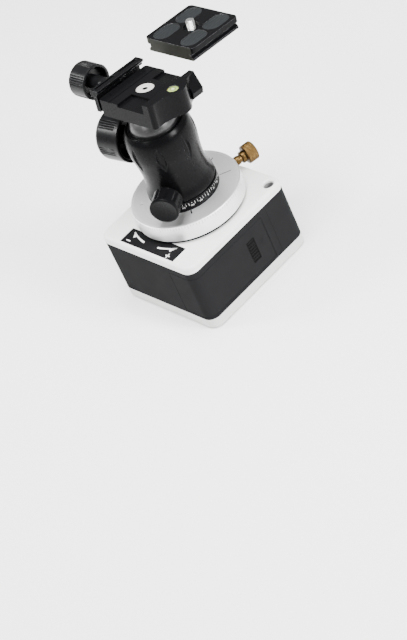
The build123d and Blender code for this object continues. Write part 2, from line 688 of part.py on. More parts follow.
def lock_knob():
    """Six groups of three grip grooves round a barrel that is hollow on the head's side."""
    barrel = Cylinder(LOCK_KNOB_R, LOCK_KNOB_LENGTH - 4.0, align=BASE)
    for i in range(6):
        for k in (-1, 0, 1):
            turn = radians(60 * i + 5.5 * k)
            groove = Cylinder(0.95, LOCK_KNOB_LENGTH, align=BASE)
            barrel -= Pos((LOCK_KNOB_R + 0.4) * cos(turn), (LOCK_KNOB_R + 0.4) * sin(turn), 3.0) * groove
    cap = Cylinder(LOCK_KNOB_R, 4.0, align=BASE)
    cap = chamfer(top_edges(cap), 2.6)
    knob = barrel + Pos(0, 0, LOCK_KNOB_LENGTH - 4.0) * cap
    knob -= Cylinder(LOCK_KNOB_R - 2.6, 9.0, align=BASE)
    knob += Pos(0, 0, 0.6) * Cylinder(7.0, 9.0, align=BASE)
    knob -= Cylinder(LOCK_SCREW_R + 0.02, 12.0, align=BASE)
    return along(radial_plane(LOCK_ANGLE, LOCK_KNOB_Z, LOCK_KNOB_NEAR), knob)


def lock_screw():
    length = LOCK_KNOB_NEAR + 12.0 - 15.0
    screw = Cylinder(LOCK_SCREW_R, length, align=BASE)
    return along(radial_plane(LOCK_ANGLE, LOCK_KNOB_Z, 15.0), screw)


def pan_knob():
    """A fluted barrel on a neck, which keeps it clear of the scale ring."""
    barrel = PAN_KNOB_LENGTH - PAN_NECK_LENGTH
    knob = Cylinder(PAN_NECK_R, PAN_NECK_LENGTH + 1.0, align=BASE)
    knob += Pos(0, 0, PAN_NECK_LENGTH) * fluted(PAN_KNOB_R, barrel - 2.0, PAN_GRIPS, 0.7, 0.5)
    cap = Cylinder(PAN_KNOB_R, 2.0, align=BASE)
    knob += Pos(0, 0, PAN_KNOB_LENGTH - 2.0) * chamfer(top_edges(cap), 0.7)
    knob -= Cylinder(PAN_SCREW_R + EASY_FIT, 5.0, align=BASE)
    return along(radial_plane(PAN_KNOB_ANGLE, PAN_KNOB_Z, PAN_KNOB_NEAR), knob)


def pan_screw():
    start = SPINDLE_R + 0.4
    screw = Cylinder(PAN_SCREW_R, PAN_KNOB_NEAR + 5.0 - start, align=BASE)
    return along(radial_plane(PAN_KNOB_ANGLE, PAN_KNOB_Z, start), screw)


def ball_stem():
    ball = Sphere(BALL_R) & Pos(0, 0, -4) * Box(60, 60, 39)
    ball += Pos(0, 0, 8) * Cylinder(10.0, FLOOR_HEIGHT - CLAMP_DEPTH - 8, align=BASE)
    ball -= Pos(0, 0, 2) * Cylinder(3.02, 30, align=BASE)
    return along(STEM_PLANE, ball)


# ---- clamp ----------------------------------------------------------------------------------
BOLT_HEAD_R = 6.8
BUBBLE = (28.4, 0.0)
BUBBLE_R = 4.6
LEVEL_FLOOR = 2.7
LEVEL_CHEEK = [(30.4, -22.0), (30.0, -15.0), (33.2, -5.5), (36.2, 1.5), (34.8, 6.5), (30.0, 12.0), (27.6, 17.5)]
HEX_R = 2.1
JAW_OUTER = -28.5
SKIRT_INNER = -25.2
JAW_ENDS = (-24.0, 22.4)
JAW_BOSS_R = 6.5
JAW_BOSS_H = 3.5
PIN_YS = (-14.0, 14.0)
PIN_R = 2.0
PIN_LENGTH = 18.0
PIN_SOCKET = 2.0  # how deep the pins sit in the jaw
UNDERCUT = JAW_TOP - LIP_H - 2.2
CLAMP_SCREW_R = 2.5
SCREW_BOSS_R = 5.0
SCREW_BOSS_REACH = 2.5
CLAMP_SCREW_LENGTH = 36.0
SCREW_TIP_X = -16.0
SCREW_HOLE_X = -4.1


def sideways(distance, shape):
    """A shape on local Z, laid along the clamping screw: it starts at a distance toward the knob."""
    cross = Plane(origin=(-distance, 0, CLAMP_SCREW_Z), x_dir=(0, 1, 0), z_dir=(-1, 0, 0))
    return along(cross, shape)


def lip_section(lip_x, side):
    """The space a jaw's lip overhangs, in local X and Z. side is +1 on the fixed jaw, -1 on the other."""
    low = -0.02
    deep = lip_x + side * 2.2
    far = lip_x - side * 40
    return Polyline(
        (far, low), (far, JAW_TOP + 5), (lip_x, JAW_TOP + 5), (lip_x, JAW_TOP - LIP_H),
        (deep, UNDERCUT), (deep, low), close=True,
    )


def channel(lip_x, side, start=-60.0):
    """The dovetail space, run along local Y."""
    face = Plane.XZ * make_face(lip_section(lip_x, side))
    return Pos(0, 60, 0) * extrude(face, 60 - start)


def cheek():
    """The fixed jaw's plan: a rounded front end, a swell round the level and a hollow behind it."""
    outer = Spline(*LEVEL_CHEEK, (27.0, CLAMP_BACK))
    corner = ThreePointArc((27.4, CLAMP_FRONT), (29.5, CLAMP_FRONT + 0.9), LEVEL_CHEEK[0])
    inner = Polyline((27.0, CLAMP_BACK), (20.0, CLAMP_BACK), (20.0, CLAMP_FRONT), (27.4, CLAMP_FRONT))
    return make_face(corner + outer + inner)


def clamp_body():
    front, back, low = CLAMP_FRONT, CLAMP_BACK, -CLAMP_DEPTH
    body = block(CLAMP_LEFT, 24.0, front, back, low, 0)
    left = body.edges().filter_by(Axis.Z).sort_by(Axis.X)[:2]
    body = chamfer(left, 1.5)
    body += Pos(0, 0, low) * extrude(cheek(), JAW_TOP - low)
    wing = Polyline((20.0, -10.5), (31.0, -10.5), (32.0, -6.0), (26.6, JAW_TOP), (20.0, JAW_TOP), close=True)
    body += Pos(0, back, 0) * extrude(Plane.XZ * make_face(wing), back - 13.0)
    # the channel's undercut stops short of the front end
    body -= channel(FIXED_LIP_X, 1, front + 1.2)
    body -= block(19.0, FIXED_LIP_X, front - 1, front + 1.3, 0, JAW_TOP + 1)
    # pockets at both ends, deeper along the fixed jaw
    for side, end in ((-1, front), (1, back)):
        y0, y1 = sorted((side * 10.5, end + side))
        body -= block(-2.8, FIXED_LIP_X - 0.4, y0, y1, -2.0, 0.1)
        y0, y1 = sorted((side * 5.6, side * 20.0))
        body -= block(FIXED_LIP_X - 2.6, FIXED_LIP_X + 0.4, y0, y1, -3.6, 0.1)
    body -= block(-11.3, -10.7, front - 1, back + 1, -0.6, 0.1)
    # seats for the bolt, the level, the clamping screw and the two guide pins
    body -= Pos(0, 0, -4.6) * Cylinder(BOLT_HEAD_R + 0.15, 10, align=BASE)
    body -= Cylinder(3.4, 40)
    body -= Pos(*BUBBLE, LEVEL_FLOOR) * Cylinder(BUBBLE_R + EASY_FIT, 10, align=BASE)
    body += sideways(-CLAMP_LEFT - 0.5, Cylinder(SCREW_BOSS_R, SCREW_BOSS_REACH + 0.5, align=BASE))
    body -= sideways(-SCREW_HOLE_X, Cylinder(CLAMP_SCREW_R + RUNNING_FIT, 40, align=BASE))
    for y in PIN_YS:
        body -= sideways(-12.0, Pos(y, 0, 0) * Cylinder(PIN_R + RUNNING_FIT, 60, align=BASE))
    return along(CLAMP_PLANE, body)


def clamp_bolt():
    bolt = Pos(0, 0, -4.5) * Cylinder(BOLT_HEAD_R, 3.7, align=BASE)
    bolt = chamfer(top_edges(bolt), 0.5)
    bolt -= Pos(0, 0, -3.2) * extrude(RegularPolygon(HEX_R, 6), 8)
    bolt += Pos(0, 0, -26.0) * Cylinder(3.0, 22, align=BASE)
    return along(CLAMP_PLANE, bolt)


def level_ring():
    cup = Pos(*BUBBLE, LEVEL_FLOOR) * Cylinder(BUBBLE_R, JAW_TOP - LEVEL_FLOOR - 0.1, align=BASE)
    cup -= Pos(*BUBBLE, LEVEL_FLOOR + 0.5) * Cylinder(BUBBLE_R - 0.7, 10, align=BASE)
    return along(CLAMP_PLANE, cup)


def level_vial():
    vial = Cylinder(BUBBLE_R - 0.7, JAW_TOP - LEVEL_FLOOR - 0.8, align=BASE)
    return along(CLAMP_PLANE, Pos(*BUBBLE, LEVEL_FLOOR + 0.5) * vial)


def moving_jaw():
    front, back = JAW_ENDS
    upper = block(JAW_OUTER, OPEN_LIP_X, front, back, GAP, JAW_TOP)
    upper -= channel(OPEN_LIP_X, -1) & block(-80, 80, -60, 60, GAP, 60)
    skirt = block(JAW_OUTER, SKIRT_INNER, front + 1.5, back - 1.5, -CLAMP_DEPTH, GAP + 0.5)
    jaw = upper + skirt
    for y0, y1 in ((front + 2.6, -2.6), (2.6, back - 2.6)):
        jaw -= block(JAW_OUTER + 1.4, JAW_OUTER + 3.4, y0, y1, JAW_TOP - 1.6, JAW_TOP + 1)
    jaw += sideways(-JAW_OUTER - 0.5, Cylinder(JAW_BOSS_R, JAW_BOSS_H + 0.5, align=BASE))
    jaw -= sideways(-SKIRT_INNER - 0.5, Cylinder(SCREW_BOSS_R + 0.35, SCREW_BOSS_REACH + 0.5, align=BASE))
    jaw -= sideways(20.0, Cylinder(CLAMP_SCREW_R + RUNNING_FIT, 30, align=BASE))
    for y in PIN_YS:
        socket = Cylinder(PIN_R + EASY_FIT, PIN_SOCKET + 1.0, align=BASE)
        jaw -= sideways(-SKIRT_INNER - 1.0, Pos(y, 0, 0) * socket)
    return along(CLAMP_PLANE, jaw)


def jaw_pins():
    start = PIN_SOCKET - SKIRT_INNER - PIN_LENGTH
    pins = [sideways(start, Pos(y, 0, 0) * Cylinder(PIN_R, PIN_LENGTH, align=BASE)) for y in PIN_YS]
    return grouped([along(CLAMP_PLANE, pin) for pin in pins])


KNOB_NEAR = 49.6
KNOB_LENGTH = 16.0


def clamp_knob():
    knob = fluted(CLAMP_KNOB_R, KNOB_LENGTH - 2.0, 18, 0.7, 0.45)
    cap = Cylinder(CLAMP_KNOB_R, 2.0, align=BASE)
    knob += Pos(0, 0, KNOB_LENGTH - 2.0) * chamfer(top_edges(cap), 1.4)
    knob -= Cylinder(CLAMP_KNOB_R - 2.2, 6.0, align=BASE)
    neck_start = JAW_BOSS_H + 0.5 - JAW_OUTER - KNOB_NEAR
    screw_end = CLAMP_SCREW_LENGTH - SCREW_TIP_X - KNOB_NEAR
    knob += Pos(0, 0, neck_start) * Cylinder(5.0, 6.6 - neck_start, align=BASE)
    bore = Cylinder(CLAMP_SCREW_R + EASY_FIT, screw_end - neck_start + 1.0, align=BASE)
    knob -= Pos(0, 0, neck_start - 1.0) * bore
    return along(CLAMP_PLANE, sideways(KNOB_NEAR, knob))


def clamp_screw():
    screw = Cylinder(CLAMP_SCREW_R, CLAMP_SCREW_LENGTH, align=BASE)
    return along(CLAMP_PLANE, sideways(-SCREW_TIP_X, screw))


# ---- quick release plate --------------------------------------------------------------------
SCREW_POCKET_R = 11.5
SCREW_POCKET_H = 4.6
CAMERA_SCREW_R = 3.15
PAD_T = 0.9
PAD_SPOTS = [(sx * 13.0, sy * 11.4) for sx in (-1, 1) for sy in (-1, 1)]
PAD_LONG, PAD_WIDE = 21.2, 13.4
STOP_SPOTS = [(-3.0, -21.3), (4.0, 21.3)]


def plate_section():
    """The dovetail: flange, sloping flank, groove and a wider top, in local X and Z."""
    flange, top = FLANGE_X / 2, PLATE_X / 2
    neck = flange - GROOVE
    right = [(flange, 0), (flange, 1.5), (neck, 1.5 + GROOVE), (neck, 5.3), (top, 6.0), (top, PLATE_H)]
    return Polyline(*right, *[(-x, z) for x, z in reversed(right)], close=True)


def release_plate():
    plate = Pos(0, PLATE_Y / 2, 0) * extrude(Plane.XZ * make_face(plate_section()), PLATE_Y)
    corners = extrude(RectangleRounded(PLATE_X, PLATE_Y, 3.0), PLATE_H)
    plate = plate & corners
    plate -= Pos(0, 0, -1) * Cylinder(SCREW_POCKET_R, SCREW_POCKET_H + 1, align=BASE)
    plate -= Cylinder(CAMERA_SCREW_R + 0.2, 40)
    plate -= Pos(0, 0, PLATE_H - 1.6) * Cylinder(6.0, 5, align=BASE)
    for x, y in PAD_SPOTS:
        plate -= Pos(x, y, PLATE_H - PAD_T) * extrude(SlotOverall(PAD_LONG, PAD_WIDE, rotation=90), 5)
    for x, y in STOP_SPOTS:
        plate -= Pos(x, y, -1) * Cylinder(1.52, 4.5, align=BASE)
    return along(PLATE_PLANE, plate)


def rubber_pads():
    pads = []
    for x, y in PAD_SPOTS:
        outline = SlotOverall(PAD_LONG - 0.1, PAD_WIDE - 0.1, rotation=90)
        pads.append(along(PLATE_PLANE, Pos(x, y, PLATE_H - PAD_T) * extrude(outline, PAD_T + 0.3)))
    return grouped(pads)


RING_HINGE_Z = 1.9
RING_WIRE_R = 0.9
RING_BOW_R = 7.4
LUG = (3.2, 6.0)


def camera_screw():
    """A flanged head with a coin slot and two lugs for the ring, and the 1/4 inch thread above it."""
    screw = Pos(0, 0, 3.3) * Cylinder(9.0, 1.1, align=BASE)
    screw += Pos(0, 0, 1.0) * Cylinder(3.0, 2.4, align=BASE)
    screw -= block(-5, 5, -0.8, 0.8, 0, 2.2)
    for x in (-1, 1):
        x0, x1 = sorted((x * LUG[0], x * LUG[1]))
        screw += block(x0, x1, -1.3, 1.3, RING_HINGE_Z - 1.1, 3.4)
        screw -= Pos((x0 + x1) / 2, 0, RING_HINGE_Z) * Rot(0, 90, 0) * Cylinder(0.62, 4.0)
    screw += Pos(0, 0, 4.0) * Cylinder(CAMERA_SCREW_R - 0.5, PLATE_H - 3.0, align=BASE)
    thread = Pos(0, 0, PLATE_H) * Cylinder(CAMERA_SCREW_R, 5.4, align=BASE)
    screw += chamfer(top_edges(thread), 0.8)
    return along(PLATE_PLANE, screw)


def d_ring():
    """The folding finger ring: a half bow with two feet that turn in the screw's lugs."""
    bow = Torus(RING_BOW_R, RING_WIRE_R) & block(-12, 12, -12, 0, -2, 2)
    for x in (-1, 1):
        foot = Rot(0, 90, 0) * Cylinder(0.55, RING_BOW_R - LUG[0] - 0.6)
        bow += Pos(x * (LUG[0] + 0.6 + RING_BOW_R) / 2, 0, 0) * foot
    return along(PLATE_PLANE, Pos(0, 0, RING_HINGE_Z) * bow)


def stop_screws():
    screws = []
    for x, y in STOP_SPOTS:
        pin = Pos(x, y, -0.9) * Cylinder(1.5, 4.2, align=BASE)
        screws.append(along(PLATE_PLANE, pin))
    return grouped(screws)


# ---- every node -----------------------------------------------------------------------------
BUILDERS = [
    # housing
    bottom_cover, middle_housing, top_cover, label_plate, battery_door, sight_tube, housing_screws,
    tripod_insert,
    # frame, shaft and drive
    frame, bearing_outer_rings, bearing_inner_rings, bearing_balls, polar_shaft, shaft_nut, worm_wheel,
    worm, worm_gear, motor_pinion, worm_bracket, worm_bearings, drive_motor,
    # power and electronics
    battery_tray, battery_cells, battery_contacts, circuit_board, switch_bodies, dc_jack, status_light,
    # turntable
    turntable_disc, thumbscrew, dust_seal,
    # ball head
    pan_base, mounting_stud, pan_retainer, pan_washer, head_housing, ball_seat, ball_collar, lock_knob,
    lock_screw, pan_knob, pan_screw, ball_stem,
    # clamp
    clamp_body, clamp_bolt, level_ring, level_vial, moving_jaw, jaw_pins, clamp_knob, clamp_screw,
    # quick release plate
    release_plate, rubber_pads, camera_screw, d_ring, stop_screws,
]

nodes = {build.__name__: build() for build in BUILDERS}
nodes["power_switch"] = slide_button(POWER_SLOT, "low")
nodes["hemisphere_switch"] = slide_button(HEMISPHERE_SLOT, "high")

os.makedirs("parts", exist_ok=True)
for name, shape in nodes.items():
    export_step(shape, f"parts/{name}.step")
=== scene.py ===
"""Looks for the star tracker mount: materials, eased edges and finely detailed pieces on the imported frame.

Metres, in the CAD frame: the origin is on the polar axis in the bottom face, +Z is the polar axis.
"""
import json
from math import cos, pi, radians, sin, sqrt

import bmesh
import bpy
from mathutils import Matrix, Vector


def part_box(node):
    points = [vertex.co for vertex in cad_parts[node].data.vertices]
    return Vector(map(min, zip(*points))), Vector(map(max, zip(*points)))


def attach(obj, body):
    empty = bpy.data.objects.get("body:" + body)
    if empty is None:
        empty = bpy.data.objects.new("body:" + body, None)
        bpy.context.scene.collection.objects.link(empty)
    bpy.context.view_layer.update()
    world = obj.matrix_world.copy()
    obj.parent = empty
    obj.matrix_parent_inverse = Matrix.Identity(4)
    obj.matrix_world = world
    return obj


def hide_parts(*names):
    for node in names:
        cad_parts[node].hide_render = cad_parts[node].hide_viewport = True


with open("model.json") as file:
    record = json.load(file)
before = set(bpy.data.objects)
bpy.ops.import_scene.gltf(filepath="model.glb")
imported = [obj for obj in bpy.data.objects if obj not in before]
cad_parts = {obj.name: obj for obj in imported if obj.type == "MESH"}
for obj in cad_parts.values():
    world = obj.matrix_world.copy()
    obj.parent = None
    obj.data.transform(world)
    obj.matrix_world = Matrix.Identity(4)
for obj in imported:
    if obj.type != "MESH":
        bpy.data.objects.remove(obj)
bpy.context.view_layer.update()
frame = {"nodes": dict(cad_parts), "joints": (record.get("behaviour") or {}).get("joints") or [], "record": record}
MM = 0.001
BODY_OF = {node: body for body, nodes in frame["record"]["behaviour"]["bodies"].items() for node in nodes}
SLOT_OF = {part["node"]: part["material_slot"] for part in frame["record"]["subparts"]}
JOINTS = {joint["name"]: joint for joint in frame["joints"]}


# ---- frames from the joints ------------------------------------------------------------------
def basis(origin, x, z):
    """A matrix whose local Z is along z, and whose local X is as near to x as it can be."""
    z = Vector(z).normalized()
    x = (Vector(x) - z * Vector(x).dot(z)).normalized()
    y = z.cross(x)
    m = Matrix((x, y, z)).transposed().to_4x4()
    m.translation = Vector(origin)
    return m


def joint_frame(name):
    """Local Z runs along a hinge's axis, local Y is as near to up as it can be."""
    joint = JOINTS[name]
    z = Vector(joint["axis"])
    side = Vector((0, 0, 1)).cross(z)
    return basis(joint["pos_m"], side if side.length > 0.1 else Vector((1, 0, 0)), z)


def extent(node, place):
    """A node's lowest and highest point along a frame's Z, and its largest radius about it."""
    inverse = place.inverted()
    points = [inverse @ v.co for v in frame["nodes"][node].data.vertices]
    heights = [p.z for p in points]
    return min(heights), max(heights), max(sqrt(p.x * p.x + p.y * p.y) for p in points)


STEM = Vector(JOINTS["clamp_spin"]["axis"])
ACROSS = Vector(JOINTS["jaw_slide"]["axis"])
ALONG = STEM.cross(ACROSS)
FLOOR_HEIGHT = 30.5 * MM  # the clamping floor, from the ball's centre
CLAMP = basis(Vector(JOINTS["clamp_spin"]["pos_m"]) + STEM * FLOOR_HEIGHT, ACROSS, STEM)
PLATE = basis(JOINTS["camera_screw_turn"]["pos_m"], ACROSS, STEM)
WORLD = Matrix.Identity(4)


# ---- pieces ----------------------------------------------------------------------------------
WELD = 0.002 * MM  # CAD points this close together become one
EASE_ANGLE, EASE_SEGMENTS = 32.0, 2  # edges sharper than this many degrees are rounded, in this many steps


def linked(name, data):
    """A new object in the scene."""
    obj = bpy.data.objects.new(name, data)
    bpy.context.scene.collection.objects.link(obj)
    return obj


def applied(obj):
    """An object's mesh with its modifiers applied."""
    return bpy.data.meshes.new_from_object(obj.evaluated_get(bpy.context.evaluated_depsgraph_get()))


def from_data(data):
    """A bmesh of some mesh data."""
    mesh = bmesh.new()
    mesh.from_mesh(data)
    return mesh


def welded(node):
    """A bmesh of a CAD node whose faces share their corners."""
    mesh = from_data(frame["nodes"][node].data)
    bmesh.ops.remove_doubles(mesh, verts=mesh.verts, dist=WELD)
    return mesh


def merged(parts):
    """One bmesh of many, which are freed."""
    whole = bmesh.new()
    for part in parts:
        data = bpy.data.meshes.new("part")
        part.to_mesh(data)
        part.free()
        whole.from_mesh(data)
        bpy.data.meshes.remove(data)
    return whole


def prism(mesh, first, last):
    """Adds the solid between two outlines of as many points to a bmesh."""
    first, last = ([mesh.verts.new(point) for point in outline] for outline in (first, last))
    mesh.faces.new(first[::-1])
    mesh.faces.new(last)
    for i in range(len(first)):
        k = (i + 1) % len(first)
        mesh.faces.new((first[i], first[k], last[k], last[i]))


def bar(mesh, x0, x1, y0, y1, z0, z1):
    """Adds a box to a bmesh."""
    corners = ((x0, y0), (x1, y0), (x1, y1), (x0, y1))
    prism(mesh, [(x, y, z0) for x, y in corners], [(x, y, z1) for x, y in corners])


def smooth_by_angle(obj, degrees):
    """Smooth shading that stays sharp at folds above an angle."""
    obj.data.shade_smooth()
    mesh = from_data(obj.data)
    for edge in mesh.edges:
        edge.smooth = len(edge.link_faces) == 2 and edge.calc_face_angle(0) < radians(degrees)
    mesh.to_mesh(obj.data)
    mesh.free()


def piece(name, mesh, node=None, body=None, slot=None, material=None, sharp=35.0):
    """An object of a bmesh, which replaces node if there is one, rides on a body and has a finish."""
    data = bpy.data.meshes.new(name)
    bmesh.ops.recalc_face_normals(mesh, faces=mesh.faces)
    mesh.to_mesh(data)
    mesh.free()
    obj = linked(name, data)
    smooth_by_angle(obj, sharp)
    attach(obj, body or BODY_OF[node])
    if node:
        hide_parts(node)
    slot = slot or SLOT_OF[node]
    data.materials.append(material or MATERIALS[slot])
    return obj


def weighted(obj):
    """Normals that follow the larger faces, so flat faces look flat beside rounded edges."""
    weigh = obj.modifiers.new("weigh", "WEIGHTED_NORMAL")
    weigh.keep_sharp = True
    weigh.mode = "FACE_AREA"
    data = applied(obj)
    obj.modifiers.remove(weigh)
    obj.data = data
    return obj


def eased(node, width, edge=None):
    """A copy of a CAD node with its sharp edges rounded over. edge is another, lighter material for the rounded
    edges, a painted highlight along them.
    """
    mesh = welded(node)
    bmesh.ops.dissolve_limit(
        mesh, angle_limit=radians(0.6), verts=mesh.verts, edges=mesh.edges, delimit={"NORMAL"}
    )
    data = bpy.data.meshes.new(node + "_eased")
    mesh.to_mesh(data)
    mesh.free()
    obj = linked(node + "_eased", data)
    bevel = obj.modifiers.new("ease", "BEVEL")
    bevel.width = width
    bevel.segments = EASE_SEGMENTS
    bevel.limit_method = "ANGLE"
    bevel.angle_limit = radians(EASE_ANGLE)
    bevel.use_clamp_overlap = True
    bevel.miter_outer = "MITER_ARC"
    if edge:
        bevel.material = 1
        for _ in range(2):
            data.materials.append(None)
    done = applied(obj)
    bpy.data.objects.remove(obj)
    result = piece(node + "_eased", from_data(done), node=node, sharp=50.0)
    if edge:
        result.data.materials.append(MATERIALS[edge])
    return weighted(result)


def lathe(name, place, profile, wave=None, steps=144, **finish):
    """A turned piece on a frame's Z. profile is (radius, height, share of the wave) from end to end.
    wave(angle, height) is a change of radius. A radius of 0 closes an end."""
    mesh = bmesh.new()
    rows = []
    for r, z, share in profile:
        if r == 0:
            rows.append([mesh.verts.new(place @ Vector((0, 0, z)))])
            continue
        row = []
        for i in range(steps):
            angle = 2 * pi * i / steps
            radius = r + (share * wave(angle, z) if wave and share else 0)
            row.append(mesh.verts.new(place @ Vector((radius * cos(angle), radius * sin(angle), z))))
        rows.append(row)
    for low, high in zip(rows, rows[1:]):
        for i in range(steps):
            k = (i + 1) % steps
            corners = [low[i % len(low)], low[k % len(low)], high[k % len(high)], high[i % len(high)]]
            corners = list(dict.fromkeys(corners))
            if len(corners) > 2:
                mesh.faces.new(corners)
    return piece(name, mesh, **finish)


def plain(points, share=0.0):
    """Profile points in millimetres, all with one share of the wave."""
    return [(r * MM, z * MM, share) for r, z in points]


# ---- materials -------------------------------------------------------------------------------
class Paint:
    """A node material built up step by step around one Principled shader."""

    def __init__(self, name, rough, metallic=0.0, specular=0.5, coat=0.0, coat_rough=0.1):
        self.material = bpy.data.materials.new(name)
        self.material.use_nodes = True
        self.nodes = self.material.node_tree.nodes
        self.links = self.material.node_tree.links
        self.shader = self.nodes["Principled BSDF"]
        for socket, value in (
            ("Roughness", rough), ("Metallic", metallic), ("Specular IOR Level", specular),
            ("Coat Weight", coat), ("Coat Roughness", coat_rough),
        ):
            self.shader.inputs[socket].default_value = value
        self.place = self.add("ShaderNodeTexCoord").outputs["Object"]
        self.normal = None

    def add(self, kind, inputs=(), **settings):
        """A new node. inputs gives a value or another node's output for its sockets."""
        node = self.nodes.new(kind)
        for key, value in settings.items():
            setattr(node, key, value)
        for key, value in dict(inputs).items():
            if isinstance(value, bpy.types.NodeSocket):
                self.links.new(value, node.inputs[key])
            else:
                node.inputs[key].default_value = value
        return node

    def noise(self, scale, detail=2.0, vector=None):
        return self.add(
            "ShaderNodeTexNoise", {"Vector": vector or self.place, "Scale": scale, "Detail": detail}
        ).outputs["Fac"]

    def math(self, operation, a, b=0.0):
        """One sum, by its operation's name."""
        return self.add("ShaderNodeMath", {0: a, 1: b}, operation=operation).outputs[0]

    def stretch(self, x, y, z):
        """The place, scaled along each axis."""
        return self.add("ShaderNodeMapping", {"Vector": self.place, "Scale": (x, y, z)}).outputs[0]

    def radius(self):
        """The distance from the Z axis, as a vector along X."""
        parts = self.add("ShaderNodeSeparateXYZ", {0: self.place})
        square = self.math("ADD", self.math("MULTIPLY", parts.outputs[0], parts.outputs[0]),
                           self.math("MULTIPLY", parts.outputs[1], parts.outputs[1]))
        flat = self.add("ShaderNodeCombineXYZ", {0: self.math("SQRT", square), 2: parts.outputs[2]})
        return flat.outputs[0]

    def color(self, factor, a, b):
        """The surface's colour, which goes from a to b as the factor goes from 0 to 1."""
        mixed = self.add("ShaderNodeMix", {"Factor": factor, 6: (*a, 1.0), 7: (*b, 1.0)}, data_type="RGBA")
        self.links.new(mixed.outputs[2], self.shader.inputs["Base Color"])

    def bump(self, height, strength, distance):
        """Adds relief on top of the bumps before it. distance is its height in metres."""
        inputs = {"Height": height, "Strength": strength, "Distance": distance}
        if self.normal is not None:
            inputs["Normal"] = self.normal
        self.normal = self.add("ShaderNodeBump", inputs).outputs[0]
        self.links.new(self.normal, self.shader.inputs["Normal"])

    def gloss(self, factor, low, high):
        """Roughness that goes from low to high over the middle half of the factor."""
        spread = {"Value": factor, "From Min": 0.25, "From Max": 0.75, "To Min": low, "To Max": high}
        self.links.new(self.add("ShaderNodeMapRange", spread).outputs[0], self.shader.inputs["Roughness"])


def tones(color, spread):
    """A colour a little darker and a little lighter."""
    return tuple(c * (1 - spread) for c in color), tuple(min(1.0, c * (1 + spread)) for c in color)


def moulded(name, color, rough, grain=0.12, spread=0.05, coat=0.0, specular=0.5):
    """Moulded plastic or rubber with a fine spark-eroded grain."""
    paint = Paint(name, rough, coat=coat, specular=specular)
    paint.color(paint.noise(45.0, 3.0), *tones(color, spread))
    paint.gloss(paint.noise(120.0, 4.0), rough - 0.05, rough + 0.06)
    paint.bump(paint.noise(5200.0, 2.0), grain, 0.00006)
    return paint.material


def anodised(name, color, rough, grain, specular):
    """Black anodised or painted metal with a fine bead-blasted grain."""
    paint = Paint(name, rough, specular=specular)
    paint.color(paint.noise(70.0, 4.0), *tones(color, 0.12))
    paint.gloss(paint.noise(160.0, 3.0), rough - 0.02, rough + 0.03)
    paint.bump(paint.noise(4000.0, 3.0), grain, 0.00005)
    return paint.material


def metal(name, color, rough, brush=(1.0, 1.0, 1.0), grain=0.15, scale=900.0, spread=0.06):
    """Bare machined or plated metal, with brush lines along the axis whose scale is smallest."""
    paint = Paint(name, rough, metallic=1.0)
    lines = paint.noise(scale, 3.0, paint.stretch(*brush))
    paint.color(paint.noise(60.0, 3.0), *tones(color, spread))
    paint.gloss(lines, rough - 0.07, rough + 0.09)
    paint.bump(lines, grain, 0.00003)
    return paint.material


def turned(name, color, rough):
    """Metal turned about the polar axis: fine rings, and slow bands of tone."""
    paint = Paint(name, rough, metallic=1.0)
    radius = paint.radius()
    rings = paint.noise(2600.0, 3.0, radius)
    paint.color(paint.noise(180.0, 2.0, radius), *tones(color, 0.05))
    paint.gloss(rings, rough - 0.06, rough + 0.08)
    paint.bump(rings, 0.35, 0.00002)
    paint.bump(paint.noise(6000.0), 0.05, 0.00003)
    return paint.material


def glass(name, color):
    """A clear coat over coloured liquid or plastic that light enters a little."""
    paint = Paint(name, 0.05, coat=1.0, coat_rough=0.03)
    paint.color(paint.noise(500.0, 2.0), *tones(color, 0.08))
    paint.shader.inputs["Subsurface Weight"].default_value = 0.25
    paint.shader.inputs["Subsurface Scale"].default_value = 0.001
    paint.bump(paint.noise(300.0), 0.03, 0.00005)
    return paint.material


